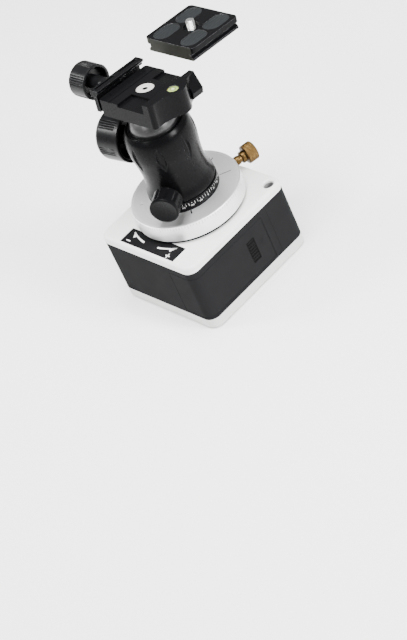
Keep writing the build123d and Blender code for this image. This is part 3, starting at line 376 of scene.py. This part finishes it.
MATERIALS = {
    "cover_white": moulded("cover_white", (0.80, 0.80, 0.785), 0.42, 0.10, 0.02),
    "band_black": moulded("band_black", (0.0135, 0.0135, 0.0142), 0.45, 0.14, 0.10, specular=0.004),
    "label_black": moulded("label_black", (0.007, 0.007, 0.0075), 0.5, 0.05, 0.10, specular=0.02),
    "frame_aluminium": metal("frame_aluminium", (0.70, 0.71, 0.72), 0.36, (1.0, 0.06, 1.0)),
    "disc_aluminium": turned("disc_aluminium", (0.95, 0.95, 0.95), 0.48),
    "steel": metal("steel", (0.60, 0.60, 0.60), 0.28, (1.0, 1.0, 0.08)),
    "bright_steel": metal("bright_steel", (0.82, 0.82, 0.81), 0.20, grain=0.08),
    "dark_steel": metal("dark_steel", (0.06, 0.06, 0.063), 0.38),
    "bronze": metal("bronze", (0.62, 0.40, 0.18), 0.30),
    "brass": metal("brass", (0.085, 0.051, 0.018), 0.34, grain=0.25, spread=0.16),
    "head_black": anodised("head_black", (0.0032, 0.0032, 0.0036), 0.26, grain=0.04, specular=0.05),
    "ball_black": anodised("ball_black", (0.004, 0.004, 0.0045), 0.36, grain=0.02, specular=1.0),
    "knob_black": moulded("knob_black", (0.0045, 0.0045, 0.005), 0.3, 0.12, 0.12, specular=0.16),
    "pad_rubber": moulded("pad_rubber", (0.0165, 0.018, 0.019), 0.62, 0.25, 0.15, specular=0.05),
    "nylon": moulded("nylon", (0.74, 0.73, 0.68), 0.45),
    "felt": moulded("felt", (0.01, 0.01, 0.01), 0.9, 0.8, 0.3, specular=0.1),
    "board_green": moulded("board_green", (0.02, 0.16, 0.06), 0.35, 0.2, 0.2),
    "motor_can": metal("motor_can", (0.62, 0.62, 0.62), 0.22),
    "tray_black": moulded("tray_black", (0.015, 0.015, 0.016), 0.5, specular=0.3),
    "cell_jacket": moulded("cell_jacket", (0.05, 0.055, 0.06), 0.30, 0.05, 0.2, coat=0.3),
    "contact_nickel": metal("contact_nickel", (0.72, 0.70, 0.65), 0.25),
    "level_green": glass("level_green", (0.26, 0.34, 0.085)),
    "lens_red": glass("lens_red", (0.42, 0.03, 0.03)),
    # Lighter grey metal for the release plate's rounded edges: a painted highlight where light catches them.
    "plate_edge_highlight": metal("plate_edge_highlight", (0.24, 0.24, 0.25), 0.35),
    # A dark metal a little lighter than the clamp's black, for its rounded edges: a painted highlight.
    "clamp_edge_highlight": metal("clamp_edge_highlight", (0.055, 0.055, 0.058), 0.35),
    "brushed_end": metal("brushed_end", (0.075, 0.077, 0.065), 0.42, (0.05, 1.0, 1.0), 0.4, 700.0, 0.2),
}
PRINT = moulded("white_print", (0.80, 0.80, 0.79), 0.5, 0.05, 0.03)
ENGRAVED = metal("engraved", (0.38, 0.38, 0.38), 0.5)
# A darker copy of the cover white for the bottom cover: painted shade for the less lit base.
SHADED_BASE_WHITE = moulded("shaded_base_white", (0.60, 0.60, 0.585), 0.42, 0.10, 0.02)
# Dark grey for the sight tube: painted shade for the shadowed inside of the hole.
SIGHT_TUBE_SHADE = moulded("sight_tube_shade", (0.22, 0.22, 0.22), 0.5, 0.10, 0.05)
RIM_ALUMINIUM = metal("rim_aluminium", (0.83, 0.83, 0.83), 0.42, (1.0, 1.0, 0.08), 0.3, 500.0, 0.10)
BOLT_STEEL = metal("bolt_steel", (0.86, 0.84, 0.81), 0.62, grain=0.1)
BUBBLE = glass("bubble", (0.50, 0.56, 0.30))
# Matte near-black: the thumb pad's and panel line's colour, and painted shade in the clamp bolt's socket.
RECESS = moulded("recess", (0.003, 0.003, 0.003), 0.7, 0.2, 0.1, specular=0.05)
for node, obj in frame["nodes"].items():
    obj.data.materials.clear()
    obj.data.materials.append(MATERIALS[SLOT_OF[node]])


# ---- eased hard edges ------------------------------------------------------------------------
EASED = {  # how wide each rounding is, in millimetres
    "middle_housing": 0.25, "top_cover": 0.45, "battery_door": 0.25, "pan_base": 0.25,
    "ball_collar": 0.3, "level_ring": 0.15, "label_plate": 0.1,
}
for node, width in EASED.items():
    eased(node, width * MM)
# The clamp's and jaw's rounded edges take the lighter edge material: a painted highlight.
for node, width in {"clamp_body": 0.5, "moving_jaw": 0.4}.items():
    eased(node, width * MM, edge="clamp_edge_highlight")
# The bottom cover is the same white plastic, given a darker copy of it as painted shade.
eased("bottom_cover", 0.35 * MM).data.materials[0] = SHADED_BASE_WHITE
eased("clamp_bolt", 0.25 * MM).data.materials[0] = BOLT_STEEL
# The sight tube's bore is darkened as painted shade.
frame["nodes"]["sight_tube"].data.materials[0] = SIGHT_TUBE_SHADE


def turntable():
    """The turntable's faces are turned, and its rim is brighter, with upright brush lines."""
    disc = eased("turntable_disc", 0.25 * MM)
    disc.data.materials.append(RIM_ALUMINIUM)
    for face in disc.data.polygons:
        if abs(face.normal.z) < 0.3:
            face.material_index = 1


def release_plate():
    """The plate's rounded edges take a lighter grey metal as a painted highlight, and its two end faces are bare
    and brushed.
    """
    plate = eased("release_plate", 0.3 * MM, edge="plate_edge_highlight")
    plate.data.materials.append(MATERIALS["brushed_end"])
    for face in plate.data.polygons:
        if face.material_index == 0 and abs(face.normal.dot(ALONG)) > 0.95:
            face.material_index = 2


turntable()
release_plate()


# ---- knobs -----------------------------------------------------------------------------------
CLAMP_KNOB_LENGTH, CLAMP_KNOB_RADIUS = 16.0, 12.8  # the barrel, in millimetres


def grip(groups, grooves, pitch, depth, half_width):
    """Groups of grooves round a barrel. pitch and half_width are in radians."""
    def wave(angle, height):
        turn = 2 * pi / groups
        offset = (angle + turn / 2) % turn - turn / 2
        nearest = round(offset / pitch + (grooves - 1) / 2)
        nearest = min(max(nearest, 0), grooves - 1) - (grooves - 1) / 2
        gap = abs(offset - nearest * pitch) / half_width
        return -depth * (1 - gap * gap) ** 2 if gap < 1 else 0.0
    return wave


def grooved(start, end, r, fade=0.5):
    """The stretch of a barrel that takes the wave, in millimetres."""
    return [(r * MM, start * MM, 0), (r * MM, (start + fade) * MM, 1),
            (r * MM, (end - fade) * MM, 1), (r * MM, end * MM, 0.25)]


def rounded_end(r, end, reach, slope):
    """The rounded outer end of a knob. It starts reach before the end, and takes slope off the radius."""
    points = [(r - slope * (1 - cos(t * pi / 10)), end - reach * (1 - sin(t * pi / 10))) for t in range(6)]
    return plain(points) + plain([(r - slope - 0.6, end), (0, end)])


def lock_knob():
    """The ball's large lock knob: a barrel round a hub, hollow at the back."""
    place = joint_frame("lock_knob_turn")
    low, high, r = extent("lock_knob", place)
    place = place @ Matrix.Translation((0, 0, low))
    length, r = (high - low) / MM, r / MM
    bore, hub, wall, hollow = 3.05, 7.0, 2.6, 9.0
    profile = plain([(0, 12), (bore, 12), (bore, 0.6), (hub - 0.4, 0.6), (hub, 1), (hub, hollow),
                     (r - wall, hollow), (r - wall, 0.5), (r - wall + 0.5, 0), (r - 0.5, 0), (r, 0.5)])
    profile += grooved(3.6, length - 3.4, r) + rounded_end(r, length, 3.2, 3.0)
    lathe("lock_knob_grip", place, profile, grip(6, 4, radians(5.2), 0.75 * MM, radians(1.9)), 720,
          node="lock_knob")


def clamp_knob():
    """The clamp's knob, hollow round a hub whose neck reaches the jaw."""
    hinge = joint_frame("clamp_knob_turn")
    low, high, _ = extent("clamp_knob", hinge)
    length, r = CLAMP_KNOB_LENGTH, CLAMP_KNOB_RADIUS
    turned_over = hinge @ Matrix.Rotation(pi, 4, "X")
    place = turned_over @ Matrix.Translation((0, 0, -low - length * MM))
    neck = length - (high - low) / MM
    bore, hub, wall, hollow = 2.55, 5.0, 2.2, 6.0
    profile = plain([(0, 4.6), (bore, 4.6), (bore, neck), (hub - 0.4, neck), (hub, neck + 0.4), (hub, hollow),
                     (r - wall, hollow), (r - wall, 0.5), (r - wall + 0.5, 0), (r - 0.5, 0), (r, 0.5)])
    profile += grooved(0.8, length - 2.4, r) + rounded_end(r, length, 2.2, 2.0)
    lathe("clamp_knob_grip", place, profile, grip(5, 5, radians(7.6), 0.7 * MM, radians(2.6)), 720,
          node="clamp_knob")


def pan_knob():
    """The panning lock's knob: ten wide grooves, and a face with a raised rim."""
    place = joint_frame("pan_knob_turn")
    low, high, r = extent("pan_knob", place)
    place = place @ Matrix.Translation((0, 0, low))
    length, r = (high - low) / MM, r / MM
    bore, hub, neck, dish = 2.05, 6.0, 5.0, 0.12
    profile = plain([(0, 4.6), (bore, 4.6), (bore, 0), (hub - 0.3, 0), (hub, 0.3), (hub, neck),
                     (r - 1.4, neck), (r - 0.8, neck + 0.3)])
    profile += grooved(neck + 0.6, length - 2.6, r, 0.8)
    profile += plain([(r, length - 2.0), (r, length - 1.0), (r - 0.25, length - 0.35), (r - 0.9, length),
                      (r - 1.5, length), (r - 1.7, length - dish), (0, length - dish)])
    lathe("pan_knob_grip", place, profile, grip(10, 1, 1.0, 0.65 * MM, radians(9.5)), 480,
          node="pan_knob")


def knurl(teeth, pitch, depth):
    """Two sets of crossing slanted grooves. Each leans by one tooth in 2 pi times the pitch."""
    def wave(angle, height):
        lean = height / pitch
        grooves = (abs(sin((angle * teeth + way * lean) / 2)) ** 6 for way in (1, -1))
        return -depth * sum(grooves)
    return wave


def thumbscrew():
    """The turntable's brass screw: a shank, a collar, a neck and a knurled head."""
    place = joint_frame("thumbscrew_turn")
    low, high, r = extent("thumbscrew", place)
    place = place @ Matrix.Translation((0, 0, low))
    length, r = (high - low) / MM, r / MM
    out = -low / MM  # where the shank leaves the disc's rim
    shank, shoulder, neck, collar = 2.2, 3.3, 2.9, 4.4
    start, end = out + 10.1, length - 0.9
    profile = plain([(0, 0), (shank - 0.4, 0), (shank, 0.4), (shank, out + 0.3), (shoulder - 0.2, out + 0.3),
                     (shoulder, out + 0.6), (shoulder, out + 4.2), (neck, out + 4.6), (neck, out + 6.0),
                     (collar - 0.2, out + 6.4), (collar, out + 6.8), (collar, out + 8.6),
                     (collar - 0.4, out + 9.0), (collar - 0.4, out + 9.6), (r - 0.9, out + 9.6),
                     (r - 0.3, start)])
    rows = 14
    for i in range(rows + 1):
        share = 1 if 0 < i < rows else 0.2
        profile.append((r * MM, (start + (end - start) * i / rows) * MM, share))
    profile += plain([(r - 0.5, length - 0.3), (r - 1.1, length), (r - 2.2, length), (r - 2.6, length - 0.4),
                      (0, length - 0.4)])
    lathe("thumbscrew_knurled", place, profile, knurl(44, 0.9 * MM, 0.20 * MM), 352, node="thumbscrew")


lock_knob()
clamp_knob()
pan_knob()
thumbscrew()


# ---- ball head -------------------------------------------------------------------------------
PAN_POCKET = (6.5, 20.8)  # the pan knob's recess: its radius, and its floor's distance from the axis
FLUTE_ANGLES = (2, -46, -92, 50, 98, 142)
FLUTE_MIDDLE, FLUTE_HALF = 120.0, 10.5  # the leaf's middle and its half length, up the head
FLUTE_WIDE, FLUTE_DEEP = 2.8, 1.55  # its half width and its depth
FLUTE_RADIUS, FLUTE_RIM = 24.6, 0.5  # the head's radius there, and how wide the groove's wall is
HEAD_BORE, HEAD_FLOOR = 20.05, 105.0  # the ball seat's pocket: its radius, and the height of its floor


def flute_depth(angle, height):
    """Slender leaf-shaped grooves down the head's side: a crisp rim and a raised middle."""
    along = (height / MM - FLUTE_MIDDLE) / FLUTE_HALF
    if abs(along) >= 1:
        return 0.0
    depth = 0.0
    width = FLUTE_WIDE * (1 - along * along)
    for centre in FLUTE_ANGLES:
        aside = (angle - radians(centre) + pi) % (2 * pi) - pi
        gap = abs(aside) * FLUTE_RADIUS / max(width, 0.01)
        if gap < 1:
            rim = min(1.0, (1 - gap) * width / FLUTE_RIM)
            across = rim * (0.66 + 0.34 * gap)
            depth = across * FLUTE_DEEP * sqrt(1 - along * along) * (0.8 + 0.2 * along)
    return -depth * MM


def head_housing():
    """The waisted shell with its flutes, and the pocket that the pan knob sits in."""
    low, high = (corner.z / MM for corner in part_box("head_housing"))
    side = [(25.2, low + 0.6), (25.1, 84.2), (23.3, 91.0), (22.9, 100.0), (23.8, 110.0), (25.0, 119.0),
            (24.9, 126.5), (23.6, 132.5), (21.6, high - 0.5)]
    profile = plain([(0, low), (24.7, low)])
    profile += [(r * MM, z * MM, 1 if 100 < z < 131.5 else 0) for r, z in smooth_path(side, 9)]
    profile += plain([(21.1, high), (20.5, high), (HEAD_BORE, high - 0.5), (HEAD_BORE, HEAD_FLOOR),
                      (0, HEAD_FLOOR)])
    shell = lathe("head_shell", WORLD, profile, flute_depth, 900, node="head_housing")
    pocket_r, pocket_floor = (size * MM for size in PAN_POCKET)
    floor = pocket_floor - Vector(JOINTS["pan_knob_turn"]["pos_m"]).xy.length
    depth = 20 * MM
    tool = bmesh.new()
    bmesh.ops.create_cone(tool, cap_ends=True, segments=96, radius1=pocket_r, radius2=pocket_r, depth=depth,
                          matrix=joint_frame("pan_knob_turn") @ Matrix.Translation((0, 0, floor + depth / 2)))
    cut(shell, tool)


def smooth_path(points, steps):
    """A Catmull-Rom curve through points."""
    path = []
    ends = [points[0], *points, points[-1]]
    for i in range(len(points) - 1):
        a, b, c, d = ends[i:i + 4]
        for k in range(steps):
            t = k / steps
            path.append(tuple(
                0.5 * (2 * b[n] + (c[n] - a[n]) * t + (2 * a[n] - 5 * b[n] + 4 * c[n] - d[n]) * t * t
                       + (3 * b[n] - a[n] - 3 * c[n] + d[n]) * t ** 3) for n in (0, 1)
            ))
    return path + [points[-1]]


def cut(obj, tool_mesh):
    """Takes a closed bmesh out of an object."""
    data = bpy.data.meshes.new("cutter")
    tool_mesh.to_mesh(data)
    tool_mesh.free()
    tool = linked("cutter", data)
    boolean = obj.modifiers.new("cut", "BOOLEAN")
    boolean.operation = "DIFFERENCE"
    boolean.solver = "EXACT"
    boolean.object = tool
    result = applied(obj)
    obj.modifiers.remove(boolean)
    obj.data = result
    bpy.data.objects.remove(tool)
    smooth_by_angle(obj, 35.0)


def wrapped(marks, radius):
    """One bmesh of many flat ones, X along and Y up, each wrapped round a cylinder at its own angle."""
    for mark, turn in marks:
        for v in mark.verts:
            angle = turn + v.co.x / radius
            reach = radius + v.co.z
            v.co = Vector((reach * cos(angle), reach * sin(angle), v.co.y))
    return merged([mark for mark, _ in marks])


def tick(half_width, bottom, top, under, over):
    """A flat upright bar that reaches under and over the surface that it marks."""
    mesh = bmesh.new()
    bar(mesh, -half_width, half_width, bottom, top, -under, over)
    return mesh


def digits(text, size):
    """A number as a flat bmesh with a little thickness, centred on X."""
    curve = bpy.data.curves.new("number", "FONT")
    curve.body = text
    curve.size = size
    curve.align_x = "CENTER"
    curve.extrude = 0.02 * MM
    curve.resolution_u = 3
    obj = linked("number", curve)
    data = applied(obj)
    bpy.data.objects.remove(obj)
    return from_data(data)


def degree_scale():
    """White degree marks and numbers printed on the ring below the head."""
    low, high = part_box("pan_base")
    top, baseline = low.z + 6.1 * MM, low.z + 2.9 * MM
    marks = []
    for degree in range(0, 360, 15):
        for aside in (-5.0, 0, 5.0):
            tall = (1.0 if aside == 0 else 2.3) * MM
            marks.append((tick(0.09 * MM, top - tall, top, 0.05 * MM, 0.03 * MM), radians(degree + aside)))
        number = digits(str(degree), 1.7 * MM)
        for v in number.verts:
            v.co.y += baseline
        marks.append((number, radians(degree)))
    piece("degree_scale", wrapped(marks, high.x), body=BODY_OF["pan_base"], slot="nylon", material=PRINT,
          sharp=80)


def disc_marks():
    """Fine engraved lines over the turntable's top edge, and three black lines on its top face."""
    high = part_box("turntable_disc")[1]
    top = high.z - 0.3 * MM
    marks = []
    for degree in range(0, 360, 3):
        tall = (3.0 if degree % 15 == 0 else 1.9) * MM
        marks.append((tick(0.14 * MM, top - tall, top, 0.05 * MM, 0.01 * MM), radians(degree + 1.5)))
    piece("rim_marks", wrapped(marks, high.x), body=BODY_OF["turntable_disc"], slot="dark_steel",
          material=ENGRAVED, sharp=80)
    lines = []
    for degree, start, end, half in ((-36, 25.7, 29.6, 0.45), (55, 25.8, 34.5, 0.30), (96, 31.2, 33.4, 0.35)):
        line = bmesh.new()
        bar(line, start * MM, end * MM, -half * MM, half * MM, top, high.z + 0.02 * MM)
        bmesh.ops.rotate(line, verts=line.verts, matrix=Matrix.Rotation(radians(degree), 3, "Z"))
        lines.append(line)
    piece("disc_lines", merged(lines), body=BODY_OF["turntable_disc"], slot="label_black", sharp=80)


head_housing()
degree_scale()
disc_marks()


# ---- label and door --------------------------------------------------------------------------
ARROW_RADIUS = 44.7  # about the polar axis, in millimetres
ARROW_START, ARROW_TIP = 9.0, 29.0  # degrees from the front
SIGN_PLACE = (20.6, -47.3)  # the plus sign's middle. The minus sign is as far to the other side
SIGN_HALF_LONG, SIGN_HALF_THICK = 2.0, 0.42


def label_print():
    """White turn arrows and plus and minus signs. The arrows are arcs about the polar axis."""
    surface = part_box("label_plate")[1].z
    mesh = bmesh.new()

    def flat(outline):
        """A thin plate from a closed outline in millimetres."""
        prism(mesh, *([(x * MM, y * MM, z) for x, y in outline]
                      for z in (surface - 0.05 * MM, surface + 0.03 * MM)))

    def polar(r, degrees):
        return r * cos(radians(degrees)), r * sin(radians(degrees))

    steps = 14
    for side in (-1, 1):
        near, tip = -90 + side * ARROW_START, -90 + side * ARROW_TIP
        turns = [i / steps for i in range(steps + 1)]
        shaft = [(near + (tip - near) * t, 0.75 - 0.3 * t) for t in turns]
        outer = [polar(ARROW_RADIUS + half, a) for a, half in shaft]
        inner = [polar(ARROW_RADIUS - half, a) for a, half in reversed(shaft)]
        flat(outer + inner)
        flat([polar(44.3, tip + side * 0.8), polar(47.6, tip - side * 5.6), polar(45.1, tip - side * 7.0)])
        x, y = side * SIGN_PLACE[0], SIGN_PLACE[1]
        strokes = [(SIGN_HALF_LONG, SIGN_HALF_THICK)]
        if side > 0:
            strokes.append((SIGN_HALF_THICK, SIGN_HALF_LONG))
        for w, h in strokes:
            flat([(x - w, y - h), (x + w, y - h), (x + w, y + h), (x - w, y + h)])
    piece("label_print", mesh, body=BODY_OF["label_plate"], slot="nylon", material=PRINT, sharp=80)


PAD_SIDES, PAD_HEIGHTS = (-1.9, 5.4), (20.6, 39.1)  # the thumb pad's Y and Z, in millimetres
PAD_RIBS, RIB_STEPS, RIB_DEPTH = 26, 6, 0.28
DOOR_ARROW_Y, DOOR_ARROW_PITCH, DOOR_ARROW_Z = 9.6, 2.2, 29.8


def door_pad():
    """A ribbed thumb pad let into the battery door."""
    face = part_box("battery_door")[1].x
    front, back = face - 0.02 * MM, face - 0.48 * MM
    bottom, top = (z * MM for z in PAD_HEIGHTS)
    pitch = (top - bottom) / PAD_RIBS
    section = []
    for i in range(PAD_RIBS):
        for k in range(RIB_STEPS):
            t = k / RIB_STEPS
            section.append((front - RIB_DEPTH * MM * (0.5 - 0.5 * cos(2 * pi * t)), bottom + (i + t) * pitch))
    section += [(front, top), (back, top), (back, bottom)]
    mesh = bmesh.new()
    prism(mesh, *([(x, y * MM, z) for x, z in section] for y in PAD_SIDES))
    piece("door_thumb_pad", mesh, body="battery_door", slot="knob_black", material=RECESS, sharp=60)


def door_arrows():
    """Two small raised arrows that point the way the battery door slides."""
    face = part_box("battery_door")[1].x
    mesh = bmesh.new()
    for i in range(2):
        y, z = (DOOR_ARROW_Y + DOOR_ARROW_PITCH * i) * MM, DOOR_ARROW_Z * MM
        for side in (-1, 1):
            tip, end = Vector((y - 1.4 * MM, z)), Vector((y + 0.8 * MM, z + side * 3.0 * MM))
            across = (end - tip).orthogonal().normalized() * 0.28 * MM
            outline = [tip - across, tip + across, end + across, end - across]
            prism(mesh, *([(x, p.x, p.y) for p in outline] for x in (face - 0.05 * MM, face + 0.12 * MM)))
    piece("door_arrows", mesh, body="battery_door", slot="band_black", sharp=60)


def panel_line():
    """The fine upright line in the drive box's side, behind the battery door."""
    low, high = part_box("middle_housing")
    y, half = 23.6 * MM, 0.14 * MM
    mesh = bmesh.new()
    bar(mesh, high.x - 0.2 * MM, high.x + 0.02 * MM, y - half, y + half, low.z + 2.6 * MM, high.z - 3 * MM)
    piece("panel_line", mesh, body=BODY_OF["middle_housing"], slot="band_black", material=RECESS, sharp=60)


label_print()
door_pad()
door_arrows()
panel_line()


# ---- quick release plate ---------------------------------------------------------------------
PAD_SPOTS = [(x, y) for x in (-13.0, 13.0) for y in (-11.4, 11.4)]  # the pads' middles, in millimetres
PAD_HALF_LONG, PAD_HALF_WIDE = 10.55, 6.65
PAD_STRAIGHT = PAD_HALF_LONG - PAD_HALF_WIDE  # from the oval's middle to the centre of its round end
PAD_SUNK, PAD_PROUD = 0.70, 0.45  # how far the pad goes into the plate, and how tall its ribs are
WAVE_HEIGHT, WAVE_LENGTH = 0.32, 2.6
RIB_SECTION = ((-0.38, 0.0), (-0.2, 0.8), (0.0, 1.0), (0.2, 0.8), (0.38, 0.0))  # aside, share of height


def oval(px, py, height, corners=48):
    """An oval pad's outline round a place on the plate."""
    ring = []
    for i in range(corners):
        a = 2 * pi * i / corners
        shift = PAD_STRAIGHT if sin(a) >= 0 else -PAD_STRAIGHT
        x, y = px + PAD_HALF_WIDE * cos(a), py + shift + PAD_HALF_WIDE * sin(a)
        ring.append(PLATE @ Vector((x * MM, y * MM, height)))
    return ring


def wavy_rib(mesh, px, py, v, half, base, lanes=40):
    """Adds a closed wavy rib across a pad at v from its middle. It reaches half each way, and fades there."""
    strip = []
    for lane in range(lanes + 1):
        x = -half + 2 * half * lane / lanes
        y = v + WAVE_HEIGHT * sin(2 * pi * x / WAVE_LENGTH)
        fade = min(1.0, (half - abs(x)) / 0.5 + 0.25)
        strip.append([mesh.verts.new(PLATE @ Vector((
            (px + x) * MM, (py + y + aside) * MM, base - 0.03 * MM + up * fade * 0.46 * MM
        ))) for aside, up in RIB_SECTION])
    for low, high in zip(strip, strip[1:]):
        for k in range(len(RIB_SECTION)):
            n = (k + 1) % len(RIB_SECTION)
            mesh.faces.new((low[k], high[k], high[n], low[n]))
    mesh.faces.new(strip[0])
    mesh.faces.new(strip[-1][::-1])


def rubber_pads():
    """Oval pads with fine wavy ribs that stand out of the plate."""
    top = extent("rubber_pads", PLATE)[1]
    base = top - PAD_PROUD * MM
    ribs = 18
    mesh = bmesh.new()
    for px, py in PAD_SPOTS:
        prism(mesh, oval(px, py, base - PAD_SUNK * MM), oval(px, py, base))
        for rib in range(ribs):
            v = -PAD_HALF_LONG + (rib + 0.5) * 2 * PAD_HALF_LONG / ribs
            over = max(0.0, abs(v) - PAD_STRAIGHT)
            half = sqrt(max(0.0, (PAD_HALF_WIDE - 0.35) ** 2 - over * over))
            if half >= 1.0:
                wavy_rib(mesh, px, py, v, half, base)
    piece("ribbed_pads", mesh, node="rubber_pads", sharp=70)


THREAD_PITCH, THREAD_CREST, THREAD_ROOT = 1.27, 3.15, 2.55  # a 1/4 inch thread, in millimetres
SCREW_HEAD_TOP, THREAD_START = 4.4, 6.4  # heights on the screw


def screw_head():
    """The CAD screw's head, which keeps its slot and lugs, cut off below its thread."""
    head = welded("camera_screw")
    everything = head.verts[:] + head.edges[:] + head.faces[:]
    bmesh.ops.bisect_plane(head, geom=everything, plane_co=PLATE @ Vector((0, 0, SCREW_HEAD_TOP * MM)),
                           plane_no=STEM, clear_outer=True)
    bmesh.ops.holes_fill(head, edges=[e for e in head.edges if e.is_boundary])
    piece("camera_screw_head", head, node="camera_screw", sharp=30)


def screw_thread():
    """A 1/4 inch thread on a bare neck, with its end tapered."""
    end = extent("camera_screw", PLATE)[1] / MM
    start = SCREW_HEAD_TOP - 0.1
    profile = plain([(0, start), (THREAD_ROOT, start)])
    z = SCREW_HEAD_TOP - 0.05
    while z < end - 0.05:
        taper = min(1.0, (end - z) / 0.9)
        if z < THREAD_START:
            profile.append((THREAD_ROOT * MM, z * MM, 0.0))
        else:
            profile.append(((THREAD_CREST - (1 - taper) * 0.75) * MM, z * MM, 1.0))
        z += 0.09
    profile += plain([(THREAD_CREST - 0.95, end), (0, end)])

    def thread(angle, height):
        phase = (height / MM / THREAD_PITCH - angle / (2 * pi)) % 1.0
        return -(THREAD_CREST - THREAD_ROOT) * MM * min(1.0, max(0.0, abs(phase - 0.5) * 2.4 - 0.15))
    lathe("camera_screw_thread", PLATE, profile, thread, 72, body=BODY_OF["camera_screw"],
          slot="bright_steel", sharp=60)


def level():
    """The round level: a domed green vial, its black circle and the bubble."""
    low, high = extent("level_vial", CLAMP)[:2]
    centre = CLAMP.inverted() @ (sum(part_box("level_vial"), Vector()) / 2)
    place = CLAMP @ Matrix.Translation((centre.x, centre.y, 0))
    r, top, rise = 3.88, high / MM, 0.35
    dome = [(r * cos(a), top - rise + rise * sin(a)) for a in (i * pi / 20 for i in range(10))]
    profile = plain([(0, low / MM), (r, low / MM), *dome, (0, top)])
    lathe("level_dome", place, profile, steps=64, node="level_vial")
    up, down = top + 0.02, top - 0.1

    def disc(name, inner, outer, slot, finish=None):
        """A flat disc or ring that stands just out of the dome."""
        profile = [(inner, down), (outer, down), (outer, up), (outer - 0.05, up + 0.04), (inner, up + 0.04)]
        profile += [(inner, down)] if inner else []
        lathe(name, place, plain(profile), steps=64, body=BODY_OF["level_vial"], slot=slot, material=finish)
    disc("level_circle", 1.75, 2.0, "dark_steel")
    disc("level_bubble", 0.0, 1.15, "level_green", BUBBLE)


def bolt_socket():
    """A near-black hexagon that fills the top of the clamp bolt's socket: painted shade in its hollow."""
    top = extent("clamp_bolt", CLAMP)[1] / MM
    high, low, corner = top - 0.25, top - 1.2, 2.3
    lathe("bolt_socket", CLAMP, plain([(0, low), (corner, low), (corner, high), (0, high)]), steps=6,
          body=BODY_OF["clamp_bolt"], slot="dark_steel", material=RECESS)


def dust_ring():
    """A black felt ring in the gap below the turntable: painted shade for the dark gap under the disc's rim."""
    low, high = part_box("top_cover")[1].z / MM + 0.05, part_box("turntable_disc")[0].z / MM - 0.15
    inner, outer, ease = 36.2, 39.1, 0.2
    profile = plain([(inner, low), (outer - ease, low), (outer, low + ease), (outer, high - ease),
                     (outer - ease, high), (inner, high), (inner, low)])
    lathe("dust_ring", WORLD, profile, body=BODY_OF["top_cover"], slot="felt")


rubber_pads()
screw_head()
screw_thread()
level()
bolt_socket()
dust_ring()


# ---- floor, lights and camera ----------------------------------------------------------------
FLOOR_DARK, FLOOR_LIGHT = (0.955, 0.955, 0.955), (0.97, 0.97, 0.97)
MIDDLE = Vector((0.0, 0.0, 0.09))  # what the lights point at
CAMERA_PLACE = Vector((1.185456, -0.693822, 1.069185))
CAMERA_RIGHT = (0.676856, 0.654461, -0.336966)
CAMERA_UP = (-0.283348, 0.654129, 0.701305)
CAMERA_BACK = (0.679397, -0.379204, 0.628191)


def studio():
    """A plain pale floor and even light from all round."""
    size, drop = 6.0, -0.1 * MM
    floor = bpy.data.meshes.new("floor")
    floor.from_pydata([(-size, -size, drop), (size, -size, drop), (size, size, drop), (-size, size, drop)],
                      [], [(0, 1, 2, 3)])
    paint = Paint("floor_white", 0.75)
    paint.color(paint.noise(3.0), FLOOR_DARK, FLOOR_LIGHT)
    floor.materials.append(paint.material)
    linked("floor", floor)
    world = bpy.data.worlds.new("studio")
    world.use_nodes = True
    sky = world.node_tree.nodes["Background"].inputs
    sky["Color"].default_value = (1.0, 1.0, 1.0, 1.0)
    sky["Strength"].default_value = 0.5
    bpy.context.scene.world = world


def softbox(name, place, size, power):
    """A square area light that points at the middle."""
    light = bpy.data.lights.new(name, "AREA")
    light.shape = "RECTANGLE"
    light.size = light.size_y = size
    light.energy = power
    obj = linked(name, light)
    obj.location = place
    obj.rotation_euler = (MIDDLE - Vector(place)).to_track_quat("-Z", "Y").to_euler()


def camera():
    """The camera's right, up and back directions are its matrix columns."""
    data = bpy.data.cameras.new("camera")
    data.lens = 136.35
    data.clip_start = 0.05
    obj = linked("camera", data)
    place = Matrix((CAMERA_RIGHT, CAMERA_UP, CAMERA_BACK)).transposed().to_4x4()
    place.translation = CAMERA_PLACE
    obj.matrix_world = place
    bpy.context.scene.camera = obj


studio()
softbox("key_right", (1.15, 0.3, 0.75), 0.36, 32.0)
softbox("key_left", (-0.02, -1.05, 0.85), 0.3, 5.0)
softbox("rim_left", (-0.95, -0.70, 0.90), 0.36, 18.0)
softbox("top", (0.1, 0.0, 1.5), 0.8, 62.0)
camera()
